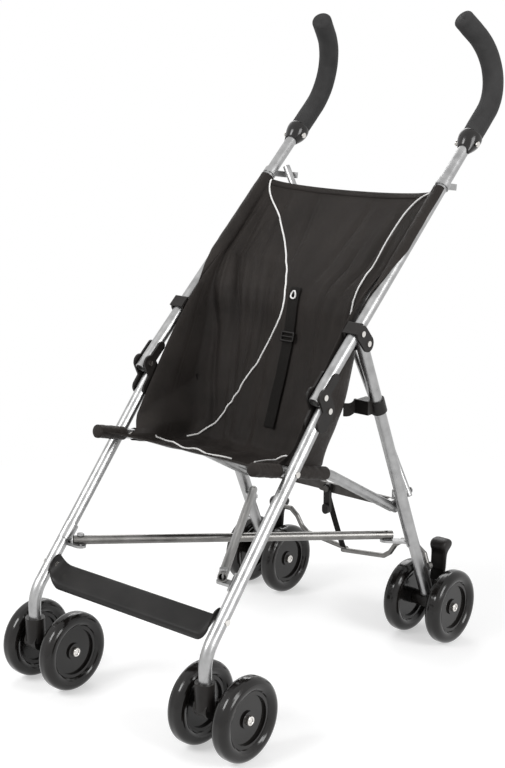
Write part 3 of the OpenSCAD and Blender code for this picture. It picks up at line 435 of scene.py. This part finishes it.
def fold_at(u, v):
    """How far the folds push the cloth out of its plain shape, in metres."""
    swell = math.sin(6 * math.pi * u) if u < 0 else 0.4 * math.sin(3 * math.pi * u)
    broad = BROAD_DEPTH * (1 - u ** 4) * math.sin(math.pi * v) * swell
    held = 1 - abs(u) ** 8
    lines = sum(deep * crease(u, v, *line) for *line, deep in CREASES)
    drawn = DRAWN_DEPTH * noise.fractal(Vector((u * 9, v * 3.2, 4.7)), 1.0, 2.1, 4)
    slack = SLACK_DEPTH * noise.noise(Vector((u * 4.5, v * 5.5, 9.1)))
    near = math.exp(-((v - CRUMPLE_ROW) / CRUMPLE_SPAN) ** 2)
    crumple = CRUMPLE_DEPTH * noise.noise(Vector((u * 13, v * 24, 2.3))) * near
    loose = min(1, 4 * v, 6 * (1 - v))
    total = broad * BROAD_SHARE + CREASE_GAIN * lines + crumple + (drawn + slack) * loose
    return total * held * MM


def seat_at(u, v, off=0.0):
    """A place on the cloth; off in mm is counted towards whoever sits in it."""
    return plain_seat(u, v) + seat_normal(u, v) * (fold_at(u, v) - off * MM)


# Seat cloth
CLOTH_T, TUNNEL_T = 1.2, 1.0
rows, cols = 141, 121
us = [2 * j / (cols - 1) - 1 for j in range(cols)]
vs = [i / (rows - 1) for i in range(rows)]
seat_cloth = piece("seat_cloth", [seat_at(u, v) for v in vs for u in us], grid_faces(rows, cols),
                   CLOTH)
applied(seat_cloth, thickened(CLOTH_T))


def handle_point(d, s):
    p = handle_at(d)
    return at(s * SIDE_X, p.x, p.y)


def rail_path(s, start, end, count):
    """Points along the straight front of the seat rail, by distance from its tip."""
    run = (RAIL_BEND - RAIL_TIP).normalized()
    spots = [RAIL_TIP + run * (start + (end - start) * i / (count - 1)) for i in range(count)]
    return [at(s * RAIL_X, p.x, p.y) for p in spots]


TUNNEL_SIDES = 36
TUNNEL_EASE, RUCK = 0.7, 0.8  # room between tube and tunnel, and how deep its gathers are
SLEEVE_R, RAIL_R = 10.6, 9.2
SLEEVE_STEPS = 70
# How far in and out of the pocket's mouth each ring of its closed end lies
POCKET_END = [(0.86, 1.6), (0.55, 2.6), (0.2, 3.0)]


def sleeve(name, path, s, r, seed, span=None):
    """A cloth tunnel round a tube, a little gathered; span gives the angles it covers at t along it."""
    count = len(path)
    verts = []
    along_it = (path[-1] - path[0]).normalized()
    across_it = Vector((s, 0, 0))
    up = along_it.cross(across_it).normalized() * s
    for i, p in enumerate(path):
        t = i / (count - 1)
        for k in range(TUNNEL_SIDES):
            a = 2 * math.pi * k / TUNNEL_SIDES
            if span:
                first, last = span(t)
                waver = 5 * noise.noise(Vector((t * 7, seed, 1)))
                a = math.radians(first + (last + waver - first) * k / (TUNNEL_SIDES - 1))
            ruck = noise.noise(Vector((math.cos(a) * 1.2, math.sin(a) * 1.2, t * 9 + seed)))
            wide = r + TUNNEL_EASE + RUCK * ruck
            verts.append(p + (across_it * math.cos(a) + up * math.sin(a)) * wide * MM)
    return piece(name, verts, grid_faces(count, TUNNEL_SIDES, not span), CLOTH)


def wrapped(t):
    """The cloth leaves the tube's outer side bare, and draws off its front towards its lower end."""
    low = max(0, 1 - t / 0.5)
    return 100 + 75 * min(1, low * 1.6), 335 - 135 * low ** 1.3


def close_end(made, path):
    """Round off the first end of a tunnel."""
    mesh = bmesh.new()
    mesh.from_mesh(made.data)
    mesh.verts.ensure_lookup_table()
    ring = [mesh.verts[k] for k in range(TUNNEL_SIDES)]
    middle = sum((v.co for v in ring), Vector()) / TUNNEL_SIDES
    inward = (path[1] - path[0]).normalized()
    last = ring
    for share, out in POCKET_END:
        fresh = [mesh.verts.new(middle + (v.co - middle) * share - inward * out * MM) for v in ring]
        for k in range(TUNNEL_SIDES):
            n = (k + 1) % TUNNEL_SIDES
            mesh.faces.new((last[k], fresh[k], fresh[n], last[n]))
        last = fresh
    mesh.faces.new(last)
    bmesh.ops.recalc_face_normals(mesh, faces=mesh.faces)
    mesh.to_mesh(made.data)
    mesh.free()
    shade_smooth(made.data)


sleeves = []
for side, s in SIDES:
    path = [handle_point(SLEEVE_FOOT + (SEAT_TOP - SLEEVE_FOOT) * i / SLEEVE_STEPS, s)
            for i in range(SLEEVE_STEPS + 1)]
    sleeves.append(sleeve(f"seat_sleeve_{side}", path, s, SLEEVE_R, 3.0 + s, wrapped))
    path = rail_path(s, 80, 172, 33)
    sleeves.append(sleeve(f"rail_tunnel_{side}", path, s, RAIL_R, 5.0 + s))
    path = rail_path(s, -1.2, 56, 27)
    pocket = sleeve(f"rail_pocket_{side}", path, s, RAIL_R, 11.0 + s)
    close_end(pocket, path)
    sleeves.append(pocket)
for made in sleeves:
    applied(made, thickened(TUNNEL_T))


# Piping
def smooth_path(points, count):
    """Catmull-Rom through (u, v) points."""
    full = [Vector(points[0])] + [Vector(p) for p in points] + [Vector(points[-1])]
    out = []
    spans = len(points) - 1
    for i in range(count + 1):
        t = i / count * spans
        k = min(int(t), spans - 1)
        t -= k
        a, b, c, d = full[k:k + 4]
        out.append(0.5 * (2 * b + (c - a) * t + (2 * a - 5 * b + 4 * c - d) * t * t
                          + (3 * b - a - 3 * c + d) * t ** 3))
    return out


def on_cloth(path, off):
    return [seat_at(max(-1, min(1, p.x)), max(0, min(1, p.y)), off) for p in path]


WELT_R, WELT_OFF = 1.5, 1.4


def welt(name, points, count):
    path = on_cloth(smooth_path(points, count), WELT_OFF)
    radii = [WELT_R * MM * (0.94 + 0.08 * noise.noise(Vector((i * 0.7, 2, 1))))
             for i in range(len(path))]
    return tube_along(name, path, radii, PIPING, 10)


# The white lines on the cloth, as (u, v)
LEFT_ARC = [(-0.992, 0.006), (-0.89, 0.036), (-0.767, 0.07), (-0.52, 0.147), (-0.353, 0.237),
            (-0.24, 0.32), (-0.153, 0.387), (-0.078, 0.438), (-0.066, 0.477), (-0.125, 0.517),
            (-0.22, 0.553), (-0.307, 0.587), (-0.385, 0.615), (-0.48, 0.64), (-0.573, 0.66),
            (-0.682, 0.68), (-0.773, 0.697), (-0.86, 0.713)]
RIGHT_ARC = [(0.985, 0.004), (0.80, 0.010), (0.66, 0.04), (0.585, 0.107), (0.565, 0.183),
             (0.573, 0.27), (0.592, 0.347), (0.628, 0.393), (0.65, 0.437), (0.66, 0.477),
             (0.655, 0.508), (0.60, 0.57), (0.52, 0.64), (0.44, 0.70)]
FRONT_ARC = [(-0.99, 0.722), (-0.96, 0.762), (-0.86, 0.798), (-0.647, 0.823), (-0.32, 0.840),
             (-0.12, 0.842), (-0.013, 0.827)]
FRONT_HOOK = [(0.18, 0.80), (0.20, 0.76), (0.233, 0.733), (0.292, 0.712), (0.36, 0.712),
              (0.392, 0.721), (0.43, 0.74)]
welts = [welt("piping_left", LEFT_ARC, 120), welt("piping_right", RIGHT_ARC, 120),
         welt("piping_front_left", FRONT_ARC, 70), welt("piping_front_right", FRONT_HOOK, 40)]


# Hems and stitching
STITCH_SIDES = 6
# Where along a stitch its sections lie, and their share of its radius
STITCH_ROWS = [(0, 0.35), (0.18, 1), (0.82, 1), (1, 0.35)]


def dashes(name, path, long, gap, r):
    """A row of thread stitches along a path of places; length, gap and radius in mm."""
    long, gap, r = long * MM, gap * MM, r * MM
    verts, faces = [], []
    run, spans = 0.0, []
    for a, b in zip(path, path[1:]):
        spans.append((run, a, b))
        run += (b - a).length

    def place(d):
        for start, a, b in reversed(spans):
            if d >= start:
                return a + (b - a).normalized() * (d - start)
        return path[0]
    one = grid_faces(len(STITCH_ROWS), STITCH_SIDES, True) + end_faces(len(STITCH_ROWS), STITCH_SIDES)
    d = 0.0
    while d + long < run:
        a, b = place(d), place(d + long)
        way = (b - a).normalized()
        side = way.orthogonal().normalized()
        other = way.cross(side)
        base = len(verts)
        for share, w in STITCH_ROWS:
            for k in range(STITCH_SIDES):
                g = 2 * math.pi * k / STITCH_SIDES
                verts.append(a + (b - a) * share + (side * math.cos(g) + other * math.sin(g)) * r * w)
        faces += [tuple(base + k for k in face) for face in one]
        d += long + gap
    return piece(name, verts, faces, THREAD)


HEM_U, HEM_STRIPS, HEM_COLS, HEM_OFF, HEM_T = 0.97, 5, 91, 1.2, 1.0
SEAM_U, SEAM_STEPS, SEAM_OFF = 0.96, 120, 1.9


def hem(name, v0, v1):
    """A folded strip of the cloth along one of its ends."""
    verts = []
    for i in range(HEM_STRIPS):
        v = v0 + (v1 - v0) * i / (HEM_STRIPS - 1)
        for j in range(HEM_COLS):
            u = -HEM_U + 2 * HEM_U * j / (HEM_COLS - 1)
            verts.append(seat_at(u, v, HEM_OFF))
    made = piece(name, verts, grid_faces(HEM_STRIPS, HEM_COLS), CLOTH)
    return applied(made, thickened(HEM_T))


def seam(name, v):
    path = [seat_at(-SEAM_U + 2 * SEAM_U * i / SEAM_STEPS, v, SEAM_OFF) for i in range(SEAM_STEPS + 1)]
    return dashes(name, path, 2.6, 1.6, 0.35)


top_hem = hem("seat_top_hem", 0.0, 0.032)
front_hem = hem("seat_front_hem", 0.955, 1.0)
seams = [seam("top_hem_stitch", 0.026), seam("front_hem_stitch", 0.962)]


# Harness
HARNESS_X, HARNESS_W, HARNESS_T = 4.0, 20.0, 1.4
HARNESS_TOP, HARNESS_FOOT, SLIDER_V, LOOP_V = 0.43, 0.665, 0.531, 0.447
HARNESS_OFF, THREAD_OFF, LOOP_OFF = 2.6, 3.4, 4.2
HARNESS_ROWS, HARNESS_COLS = 61, 9
THREAD_INSET, THREAD_STEPS = 0.004, 59  # how far from the strap's ends the stitches stop, in v


def on_strap(x, v, off):
    """A place on the harness: flat across, on the fold under its middle line."""
    u = u_of(x, v)
    return plain_seat(u, v) + seat_normal(u, v) * (fold_at(u_of(HARNESS_X, v), v) - off * MM)


verts = []
for i in range(HARNESS_ROWS):
    v = HARNESS_TOP + (HARNESS_FOOT - HARNESS_TOP) * i / (HARNESS_ROWS - 1)
    for j in range(HARNESS_COLS):
        x = HARNESS_X + HARNESS_W * (j / (HARNESS_COLS - 1) - 0.5)
        verts.append(on_strap(x, v, HARNESS_OFF))
harness = piece("harness_webbing", verts, grid_faces(HARNESS_ROWS, HARNESS_COLS), WEB)
applied(harness, thickened(HARNESS_T), bevelled(0.4))
edges = []
for edge, share in (("a", 0.09), ("b", 0.91)):
    x = HARNESS_X + HARNESS_W * (share - 0.5)
    run = HARNESS_FOOT - HARNESS_TOP - 2 * THREAD_INSET
    path = [on_strap(x, HARNESS_TOP + THREAD_INSET + run * i / THREAD_STEPS, THREAD_OFF)
            for i in range(THREAD_STEPS + 1)]
    edges.append(dashes(f"harness_stitch_{edge}", path, 2.2, 1.4, 0.3))


def frame_of(v, off):
    """Place, sideways, down-the-cloth and outward directions at the harness's middle line."""
    u = u_of(HARNESS_X, v)
    place = on_strap(HARNESS_X, v, off)
    down = (plain_seat(u, v + 0.01) - plain_seat(u, v - 0.01)).normalized()
    out = -seat_normal(u, v)
    side = down.cross(out).normalized()
    return place, side, down, out


CORNER_STEPS = 8
# The slider's section, as [distance in from its outline, share of its thickness]
SLIDER_RINGS = [(0, 0.25), (0, 0.75), (0.6, 1), (2.6, 1), (3.2, 0.75), (3.2, 0.25), (2.6, 0), (0.6, 0)]
SLIDER_W, SLIDER_H, SLIDER_T, SLIDER_CORNER = 27, 17, 3.2, 3.4
BAR_R, BAR_STEPS = 1.5, 10


def rounded_loop(wide, tall, r):
    loop = []
    for cx, cy, a0 in ((wide / 2 - r, tall / 2 - r, 0), (-wide / 2 + r, tall / 2 - r, 90),
                       (-wide / 2 + r, -tall / 2 + r, 180), (wide / 2 - r, -tall / 2 + r, 270)):
        for k in range(CORNER_STEPS):
            a = math.radians(a0 + 90 * k / (CORNER_STEPS - 1))
            loop.append((cx + r * math.cos(a), cy + r * math.sin(a)))
    return loop


def webbing_slider(name, v, off):
    """A rounded frame with a bar across its middle."""
    place, side, down, out = frame_of(v, off)
    rings = []
    for inset, lift in SLIDER_RINGS:
        loop = rounded_loop(SLIDER_W - 2 * inset, SLIDER_H - 2 * inset, max(SLIDER_CORNER - inset, 0.8))
        rings.append([place + side * (a * MM) + down * (b * MM) + out * (lift * SLIDER_T * MM)
                      for a, b in loop])
    n = len(rings[0])
    verts = [p for ring in rings for p in ring]
    faces = []
    for i in range(len(rings)):
        k = (i + 1) % len(rings)
        for j in range(n):
            m = (j + 1) % n
            faces.append((i * n + j, i * n + m, k * n + m, k * n + j))
    made = piece(name, verts, faces, BLACK)
    path = [place + side * ((-SLIDER_W / 2 + 2 + (SLIDER_W - 4) * i / BAR_STEPS) * MM)
            + out * (SLIDER_T * 0.5 * MM) for i in range(BAR_STEPS + 1)]
    bar = tube_along(name + "_bar", path, [BAR_R * MM] * len(path), BLACK, 12)
    return made, bar


slider, slider_bar = webbing_slider("harness_slider", SLIDER_V, THREAD_OFF)
LOOP_R, LOOP_WIDE, LOOP_TALL, LOOP_STEPS = 1.3, 4.2, 6.5, 28
place, side_way, down, out = frame_of(LOOP_V, LOOP_OFF)
loop_path = []
for i in range(LOOP_STEPS + 1):
    a = math.radians(-70 + 320 * i / LOOP_STEPS)
    loop_path.append(place + side_way * (LOOP_WIDE * math.cos(a) * MM)
                     + down * (LOOP_TALL * math.sin(a) * MM)
                     + out * (1.2 * math.sin(a * 2) * MM + 0.6 * MM))
cord_loop = tube_along("harness_loop", loop_path, [LOOP_R * MM] * len(loop_path), PIPING, 10)


# Grips and their collars
GRIP_START, GRIP_STRAIGHT, GRIP_BEND_R, GRIP_TAIL, GRIP_R = 538.0, 58.0, 84.0, 40.0, 16.9
GRIP_BEND, GRIP_TURN, LEAN = math.radians(96), math.radians(15), math.radians(HANDLE_LEAN)
GRIP_LONG = GRIP_STRAIGHT + GRIP_BEND_R * GRIP_BEND + GRIP_TAIL
GRIP_STEPS, GRIP_SIDES, COLLAR_SIDES = 84, 40, 44
MOUTH_LONG, MOUTH_DEEP = 2.4, 1.6  # how the foam draws in at its lower mouth
END_LONG, END_DEEP = 5.6, 5.4  # and how it rounds off at its far end
# The hollow in the far end, as [distance in, share of the radius]
GRIP_HOLLOW = [(0.5, 0.60), (1.6, 0.50), (1.9, 0.2)]
# The collar's outline from its lower lip up and back inside, as [along the tube from the grip, radius]
COLLAR = [(-26.0, 10.2), (-25.6, 11.2), (-24, 12.2), (-20, 14.2), (-15, 16.5), (-10, 18.0),
          (-5, 18.8), (0, 18.9), (2, 18.7), (3.6, 18.3), (4.2, 17.8), (4.2, 17.1), (-0.2, 16.2),
          (-0.6, 10.2)]
TONGUE_TOP, TONGUE_LONG = -12.0, 7.5


def grip_frame(s):
    """The directions up the handle tube and into the grip's bend."""
    ahead = Vector((0, math.sin(LEAN), math.cos(LEAN)))
    over = Vector((-s * math.sin(GRIP_TURN), -math.cos(GRIP_TURN) * math.cos(LEAN),
                   math.cos(GRIP_TURN) * math.sin(LEAN)))
    return ahead, over


def grip_place(start, ahead, over, d):
    """The point a distance d in mm along the grip's middle line."""
    a = min(max((d - GRIP_STRAIGHT) / GRIP_BEND_R, 0), GRIP_BEND)
    far = max(d - GRIP_STRAIGHT - GRIP_BEND_R * GRIP_BEND, 0)
    forth = min(d, GRIP_STRAIGHT) + GRIP_BEND_R * math.sin(a) + far * math.cos(GRIP_BEND)
    side = GRIP_BEND_R * (1 - math.cos(a)) + far * math.sin(GRIP_BEND)
    return start + (ahead * forth + over * side) * MM


grips, collars = [], []
for side, s in SIDES:
    ahead, over = grip_frame(s)
    start = handle_point(GRIP_START, s)
    stops = [0, 0.4, 1.2, MOUTH_LONG]
    stops += [4 + (GRIP_LONG - 10) * i / GRIP_STEPS for i in range(GRIP_STEPS + 1)]
    stops += [GRIP_LONG - back for back in (END_LONG, 3.6, 1.8, 0.6, 0)]
    path, radii = [], []
    for d in stops:
        path.append(grip_place(start, ahead, over, d))
        full = GRIP_R + 0.18 * noise.noise(Vector((d * 0.045, s, 7)))
        mouth = max(0, 1 - d / MOUTH_LONG)
        end = max(0, 1 - (GRIP_LONG - d) / END_LONG)
        rounding = 1 - math.sqrt(max(0, 1 - end * end))
        radii.append((full - MOUTH_DEEP * mouth ** 2 - END_DEEP * rounding) * MM)
    way = (path[-1] - path[-2]).normalized()
    tip = path[-1]
    for back, share in GRIP_HOLLOW:
        path.append(tip - way * back * MM)
        radii.append(GRIP_R * share * MM)
    grips.append(tube_along(f"grip_foam_{side}", path, radii, FOAM, GRIP_SIDES))

    verts = []
    axis_x = Vector((s, 0, 0))
    axis_y = ahead.cross(axis_x).normalized()
    for d, rad in COLLAR:
        droop = max(0, (TONGUE_TOP - d) / (TONGUE_TOP - COLLAR[0][0]))
        for k in range(COLLAR_SIDES):
            a = 2 * math.pi * k / COLLAR_SIDES
            tongue = TONGUE_LONG * max(0, math.cos(a)) ** 6 * droop
            verts.append(start + ahead * (d - tongue) * MM
                         + (axis_x * math.cos(a) + axis_y * math.sin(a)) * rad * MM)
    faces = grid_faces(len(COLLAR), COLLAR_SIDES, True)
    last = (len(COLLAR) - 1) * COLLAR_SIDES
    faces += [(last + k, last + (k + 1) % COLLAR_SIDES, (k + 1) % COLLAR_SIDES, k)
              for k in range(COLLAR_SIDES)]
    collars.append(piece(f"grip_collar_cap_{side}", verts, faces, GLOSS))


# Axle ends
EYE_SIDES, EYE_STEEL_ROWS = 28, 5
# The eye's outline from its rim inwards, as [radius, height]
EYE = [(6.9, -0.6), (6.9, 0.5), (6.4, 1.0), (5.4, 1.2), (4.4, 1.0), (3.8, 0.5), (3.5, -0.2),
       (2.4, -0.5), (0.4, -0.6)]


def axle_eye(name, centre, out):
    """A turned-over axle end: a steel ring round a shallow hollow middle, painted black as the shade of
    a deep bore.
    """
    verts = []
    for r, lift in EYE:
        for k in range(EYE_SIDES):
            a = 2 * math.pi * k / EYE_SIDES
            verts.append(centre + Vector((out * lift, r * math.cos(a), r * math.sin(a))) * MM)
    made = piece(name, verts, grid_faces(len(EYE), EYE_SIDES, True), RIVET)
    # Painted shade: the inner rows take the black plastic to stand in for the dark of the hollow.
    made.data.materials.append(BLACK)
    for i, polygon in enumerate(made.data.polygons):
        polygon.material_index = 1 if i >= EYE_STEEL_ROWS * EYE_SIDES else 0
    return made


axle_eyes = []
for place_name, carrier in (("front", "castor"), ("rear", None)):
    for side, s in SIDES:
        low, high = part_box(f"{place_name}_axle_{side}")
        for end, x, out in (("low", low.x, -1), ("high", high.x, 1)):
            centre = Vector((x, (low.y + high.y) / 2, (low.z + high.z) / 2))
            eye = axle_eye(f"axle_eye_{place_name}_{side}_{end}", centre, out)
            axle_eyes.append((eye, f"{carrier}_{side}" if carrier else f"{side}_frame"))


# Footrest
FOOT_MID = Vector((-1.0, 182.7))
SLOPE = math.radians(25)
FOOTREST_T = 2.6
EAR_X, EAR_R, EAR_TOP = 163.4, 20.0, 24.0
EAR_STEPS, TIP_STEPS = 8, 7
back_way = Vector((math.cos(SLOPE), math.sin(SLOPE)))
up_way = Vector((-math.sin(SLOPE), math.cos(SLOPE)))
# The tread's section from back to front, as [along the slope, up from it]
section = [(20.3, -2.6), (20.1, -1.0), (19.2, 0.0), (14, 0.5), (7, 0.9), (0, 1.0), (-7, 0.9),
           (-14, 0.5), (-17.5, 0.0), (-19.6, -1.0), (-20.8, -3.2), (-21.3, -6.0), (-21.5, -9.0)]
# Across the board, as [x, rise, share of the section's depth, share of its drop]: the flat run, the
# bend up into the ear and the ear's rounded top
stations = [(x, 0.0, 1.0, 1.0) for x in (0, 20, 40, 60, 80, 100, 115, 128, 137)]
for k in range(EAR_STEPS + 1):
    a = math.radians(90 * k / EAR_STEPS)
    share = 1 - 0.42 * (k / EAR_STEPS) ** 1.4
    stations.append((EAR_X - EAR_R + EAR_R * math.sin(a), EAR_R * (1 - math.cos(a)), share,
                     1 - k / EAR_STEPS))
for k in range(1, TIP_STEPS + 1):
    a = math.pi / 2 * (k / TIP_STEPS)
    stations.append((EAR_X, EAR_R + (EAR_TOP - EAR_R) * math.sin(a),
                     0.58 * max(math.cos(a), 0.12) ** 0.6, 0.0))
mirrored = [(-x, rise, share, drop) for x, rise, share, drop in reversed(stations[1:])]
stations = mirrored + stations
verts = []
for x, rise, share, drop in stations:
    for a, b in section:
        p = (FOOT_MID + back_way * (a * share) + up_way * (b * drop if b < 0 else b)
             + Vector((0, rise)))
        verts.append(at(x, p.x, p.y))
footrest = piece("footrest_tread", verts, grid_faces(len(stations), len(section)), STEP)
applied(footrest, ("SUBSURF", {"levels": 2}), thickened(FOOTREST_T), bevelled(0.5))
shade_smooth(footrest.data)


# Straps
STRAP_COLS, STRAP_STEPS = 7, 40
LIFT_W, LIFT_T, LIFT_BOW = 12, 1.8, 1.4
SIDE_T, SIDE_BOW, SIDE_SAG, SIDE_TWIST = 1.6, 1.6, 2.2, 0.10
STRAP_TRIM = 0.001  # how far inside its solid's box a strap stays, in metres


def webbing(name, path, ways, wide, thick):
    """A flat strap along a path, with the direction across it at each point; and its area."""
    verts = [p + way * ((j / (STRAP_COLS - 1) - 0.5) * wide * MM)
             for p, way in zip(path, ways) for j in range(STRAP_COLS)]
    made = piece(name, verts, grid_faces(len(path), STRAP_COLS), WEB)
    area = area_of(made)
    applied(made, thickened(thick), bevelled(0.3))
    return made, area


lo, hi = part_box("lift_strap")
lift_top, lift_foot = Vector((0, lo.y + STRAP_TRIM, hi.z)), Vector((0, hi.y - STRAP_TRIM, lo.z))
fall = lift_foot - lift_top
outward = fall.cross(Vector((1, 0, 0))).normalized()
lift_path = []
for i in range(STRAP_STEPS + 1):
    bow = LIFT_BOW * math.sin(math.pi * i / STRAP_STEPS)
    lift_path.append(lift_top + fall * (i / STRAP_STEPS) + outward * (bow * MM))
lift_strap, LIFT_AREA = webbing("lift_webbing", lift_path, [Vector((1, 0, 0))] * len(lift_path),
                                LIFT_W, LIFT_T)

side_straps, side_runs = [], []
for side, s in SIDES:
    lo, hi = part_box(f"side_strap_{side}")
    x, z = (lo.x + hi.x) / 2, (lo.z + hi.z) / 2
    path, ways = [], []
    for i in range(STRAP_STEPS + 1):
        t = i / STRAP_STEPS
        bow = math.sin(math.pi * t)
        path.append(Vector((x + s * SIDE_BOW * bow * MM, lo.y + (hi.y - lo.y) * t,
                            z - SIDE_SAG * bow * MM)))
        ways.append(Vector((s * SIDE_TWIST * bow, 0, 1)).normalized())
    made, area = webbing(f"side_webbing_{side}", path, ways, (hi.z - lo.z) / MM - 1, SIDE_T)
    side_straps.append(made)
    wide = (hi.z - lo.z) - STRAP_TRIM
    side_runs.append((wide, area / wide))


# Brake pedal pads
# Height, middle in y, half depth and half width of each section of the rounded pad
PAD_ROWS = [(108, 550.0, 3.3, 12.4), (109.5, 550.1, 3.9, 14.0), (125, 551.0, 3.9, 14.2),
            (138, 551.8, 4.4, 14.2), (143, 553.5, 8.0, 14.5), (146.5, 555.5, 12.5, 15.2),
            (152, 557.0, 16.0, 16.0), (156.5, 557.0, 14.4, 15.6), (159.5, 557.0, 11.4, 14.8),
            (161.2, 557.0, 8.2, 13.2), (162.4, 557.0, 4.0, 9.0)]
PAD_SIDES, PAD_SQUARE = 40, 4.0  # PAD_SQUARE says how square a section is: 2 is an ellipse


def squared(w):
    return math.copysign(abs(w) ** (2 / PAD_SQUARE), w)


for side, s in SIDES:
    verts = []
    for z, y, deep, wide in PAD_ROWS:
        for k in range(PAD_SIDES):
            a = 2 * math.pi * k / PAD_SIDES
            verts.append(at(s * SIDE_X + wide * squared(math.cos(a)),
                            y + deep * squared(math.sin(a)), z))
    faces = grid_faces(len(PAD_ROWS), PAD_SIDES, True) + end_faces(len(PAD_ROWS), PAD_SIDES)
    pad = piece(f"pedal_pad_{side}", verts, faces, BLACK)
    applied(pad, ("SUBSURF", {"levels": 1, "render_levels": 1}))
    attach(pad, f"brake_pedal_{side}")


# What each piece rides on
on_seat = [seat_cloth, top_hem, front_hem, harness, slider, slider_bar, cord_loop]
for made in on_seat + welts + seams + edges:
    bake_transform(made)
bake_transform(footrest)
for made in sleeves + grips + collars + side_straps:
    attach(made, "left_frame" if made.name.endswith("left") else "right_frame")
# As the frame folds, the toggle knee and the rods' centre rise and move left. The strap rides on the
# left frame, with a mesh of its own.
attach(lift_strap, "left_frame")
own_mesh(lift_strap)
for eye, body in axle_eyes:
    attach(eye, body)

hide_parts("seat")
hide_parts("harness_strap")
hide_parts("strap_slider")
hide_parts("footrest")
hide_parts("lift_strap")
for (side, _), grip, collar, strap in zip(SIDES, grips, collars, side_straps):
    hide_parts(f"grip_{side}")
    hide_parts(f"grip_collar_{side}")
    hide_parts(f"side_strap_{side}")


# Floor, light and camera
scene = bpy.context.scene
FLOOR_HALF, FLOOR_Z = 12, -0.0004
FLOOR_LIFT, FADE_START, FADE_END = 0.47, 0.5, 1.2
SKY_LIGHT = 0.40
mat, tree, shader = tree_of("studio_floor_white")
floor = piece("studio_floor", [(x * FLOOR_HALF, y * FLOOR_HALF, FLOOR_Z)
                               for x, y in ((-1, -1), (1, -1), (1, 1), (-1, 1))], [(0, 1, 2, 3)], mat)
shader.inputs["Base Color"].default_value = (0.62, 0.62, 0.62, 1)
shader.inputs["Roughness"].default_value = 0.95
shader.inputs["Specular IOR Level"].default_value = 0.0
shader.inputs["Emission Color"].default_value = (1, 1, 1, 1)
rays = node(tree, "ShaderNodeLightPath")
seen = join_values(tree, rays.outputs["Is Camera Ray"], rays.outputs["Is Glossy Ray"], "MAXIMUM")
tree.links.new(join_values(tree, seen, FLOOR_LIFT, "MULTIPLY"), shader.inputs["Emission Strength"])
# Away from the part the floor fades to the plain white of the backdrop.
reach = node(tree, "ShaderNodeVectorMath", operation="LENGTH")
tree.links.new(coords(tree), reach.inputs[0])
fade = ramp_of(tree, join_values(tree, reach.outputs["Value"], 0.5, "MULTIPLY"),
               [(FADE_START / 2, grey(0)), (FADE_END / 2, grey(1))])
blank = node(tree, "ShaderNodeEmission", Color=(1, 1, 1, 1), Strength=1.0)
blended = node(tree, "ShaderNodeMixShader")
tree.links.new(join_values(tree, seen, fade, "MULTIPLY"), blended.inputs[0])
tree.links.new(shader.outputs[0], blended.inputs[1])
tree.links.new(blank.outputs[0], blended.inputs[2])
tree.links.new(blended.outputs[0], tree.nodes["Material Output"].inputs["Surface"])

# The backdrop looks plain white, but lights the part with less than that.
world = bpy.data.worlds.new("studio")
scene.world = world
world.use_nodes = True
tree = world.node_tree
tree.nodes.clear()
output = node(tree, "ShaderNodeOutputWorld")
seen_sky = node(tree, "ShaderNodeBackground", Color=(1, 1, 1, 1), Strength=1.0)
lit_sky = node(tree, "ShaderNodeBackground", Color=(1, 1, 1, 1), Strength=SKY_LIGHT)
mixed = node(tree, "ShaderNodeMixShader")
rays = node(tree, "ShaderNodeLightPath")
seen = join_values(tree, rays.outputs["Is Camera Ray"], rays.outputs["Is Transmission Ray"],
                   "MAXIMUM")
seen = join_values(tree, seen, rays.outputs["Is Glossy Ray"], "MAXIMUM")
tree.links.new(seen, mixed.inputs[0])
tree.links.new(lit_sky.outputs[0], mixed.inputs[1])
tree.links.new(seen_sky.outputs[0], mixed.inputs[2])
tree.links.new(mixed.outputs[0], output.inputs[0])

# The camera as solved from the photograph
aim = at(0, 271.778, 457.647)
AZIMUTH, ELEVATION, FAR = math.radians(40.118162), math.radians(13.533262), 2183.2058 * MM
FOCAL_PX, PHOTO_HIGH, SENSOR_HIGH = 1400.7333, 768, 24.0


def lamp(name, place, size, power):
    """An area light that points at the part; place and size in metres, power in watts."""
    light = bpy.data.lights.new(name, "AREA")
    light.shape = "RECTANGLE"
    light.size, light.size_y = size
    light.energy = power
    made = bpy.data.objects.new(name, light)
    scene.collection.objects.link(made)
    made.location = place
    made.rotation_euler = (aim - Vector(place)).to_track_quat("-Z", "Y").to_euler()


lamp("key", (-0.9, -2.6, 2.6), (1.4, 1.4), 78)
lamp("side", (2.9, -0.2, 1.6), (1.2, 1.8), 62)
lamp("back", (-1.8, 2.2, 2.4), (1.8, 1.8), 36)

camera_data = bpy.data.cameras.new("camera")
camera_data.sensor_fit = "VERTICAL"
camera_data.sensor_height = SENSOR_HIGH
camera_data.lens = FOCAL_PX * SENSOR_HIGH / PHOTO_HIGH
camera_data.shift_x = 0.0002
camera_data.shift_y = -0.0027
camera_data.clip_end = 60
camera = bpy.data.objects.new("camera", camera_data)
scene.collection.objects.link(camera)
towards = Vector((math.sin(AZIMUTH) * math.cos(ELEVATION), -math.cos(AZIMUTH) * math.cos(ELEVATION),
                  math.sin(ELEVATION)))
camera.location = aim + towards * FAR
camera.rotation_euler = (aim - camera.location).to_track_quat("-Z", "Y").to_euler()
scene.camera = camera
scene.view_settings.view_transform = "Standard"
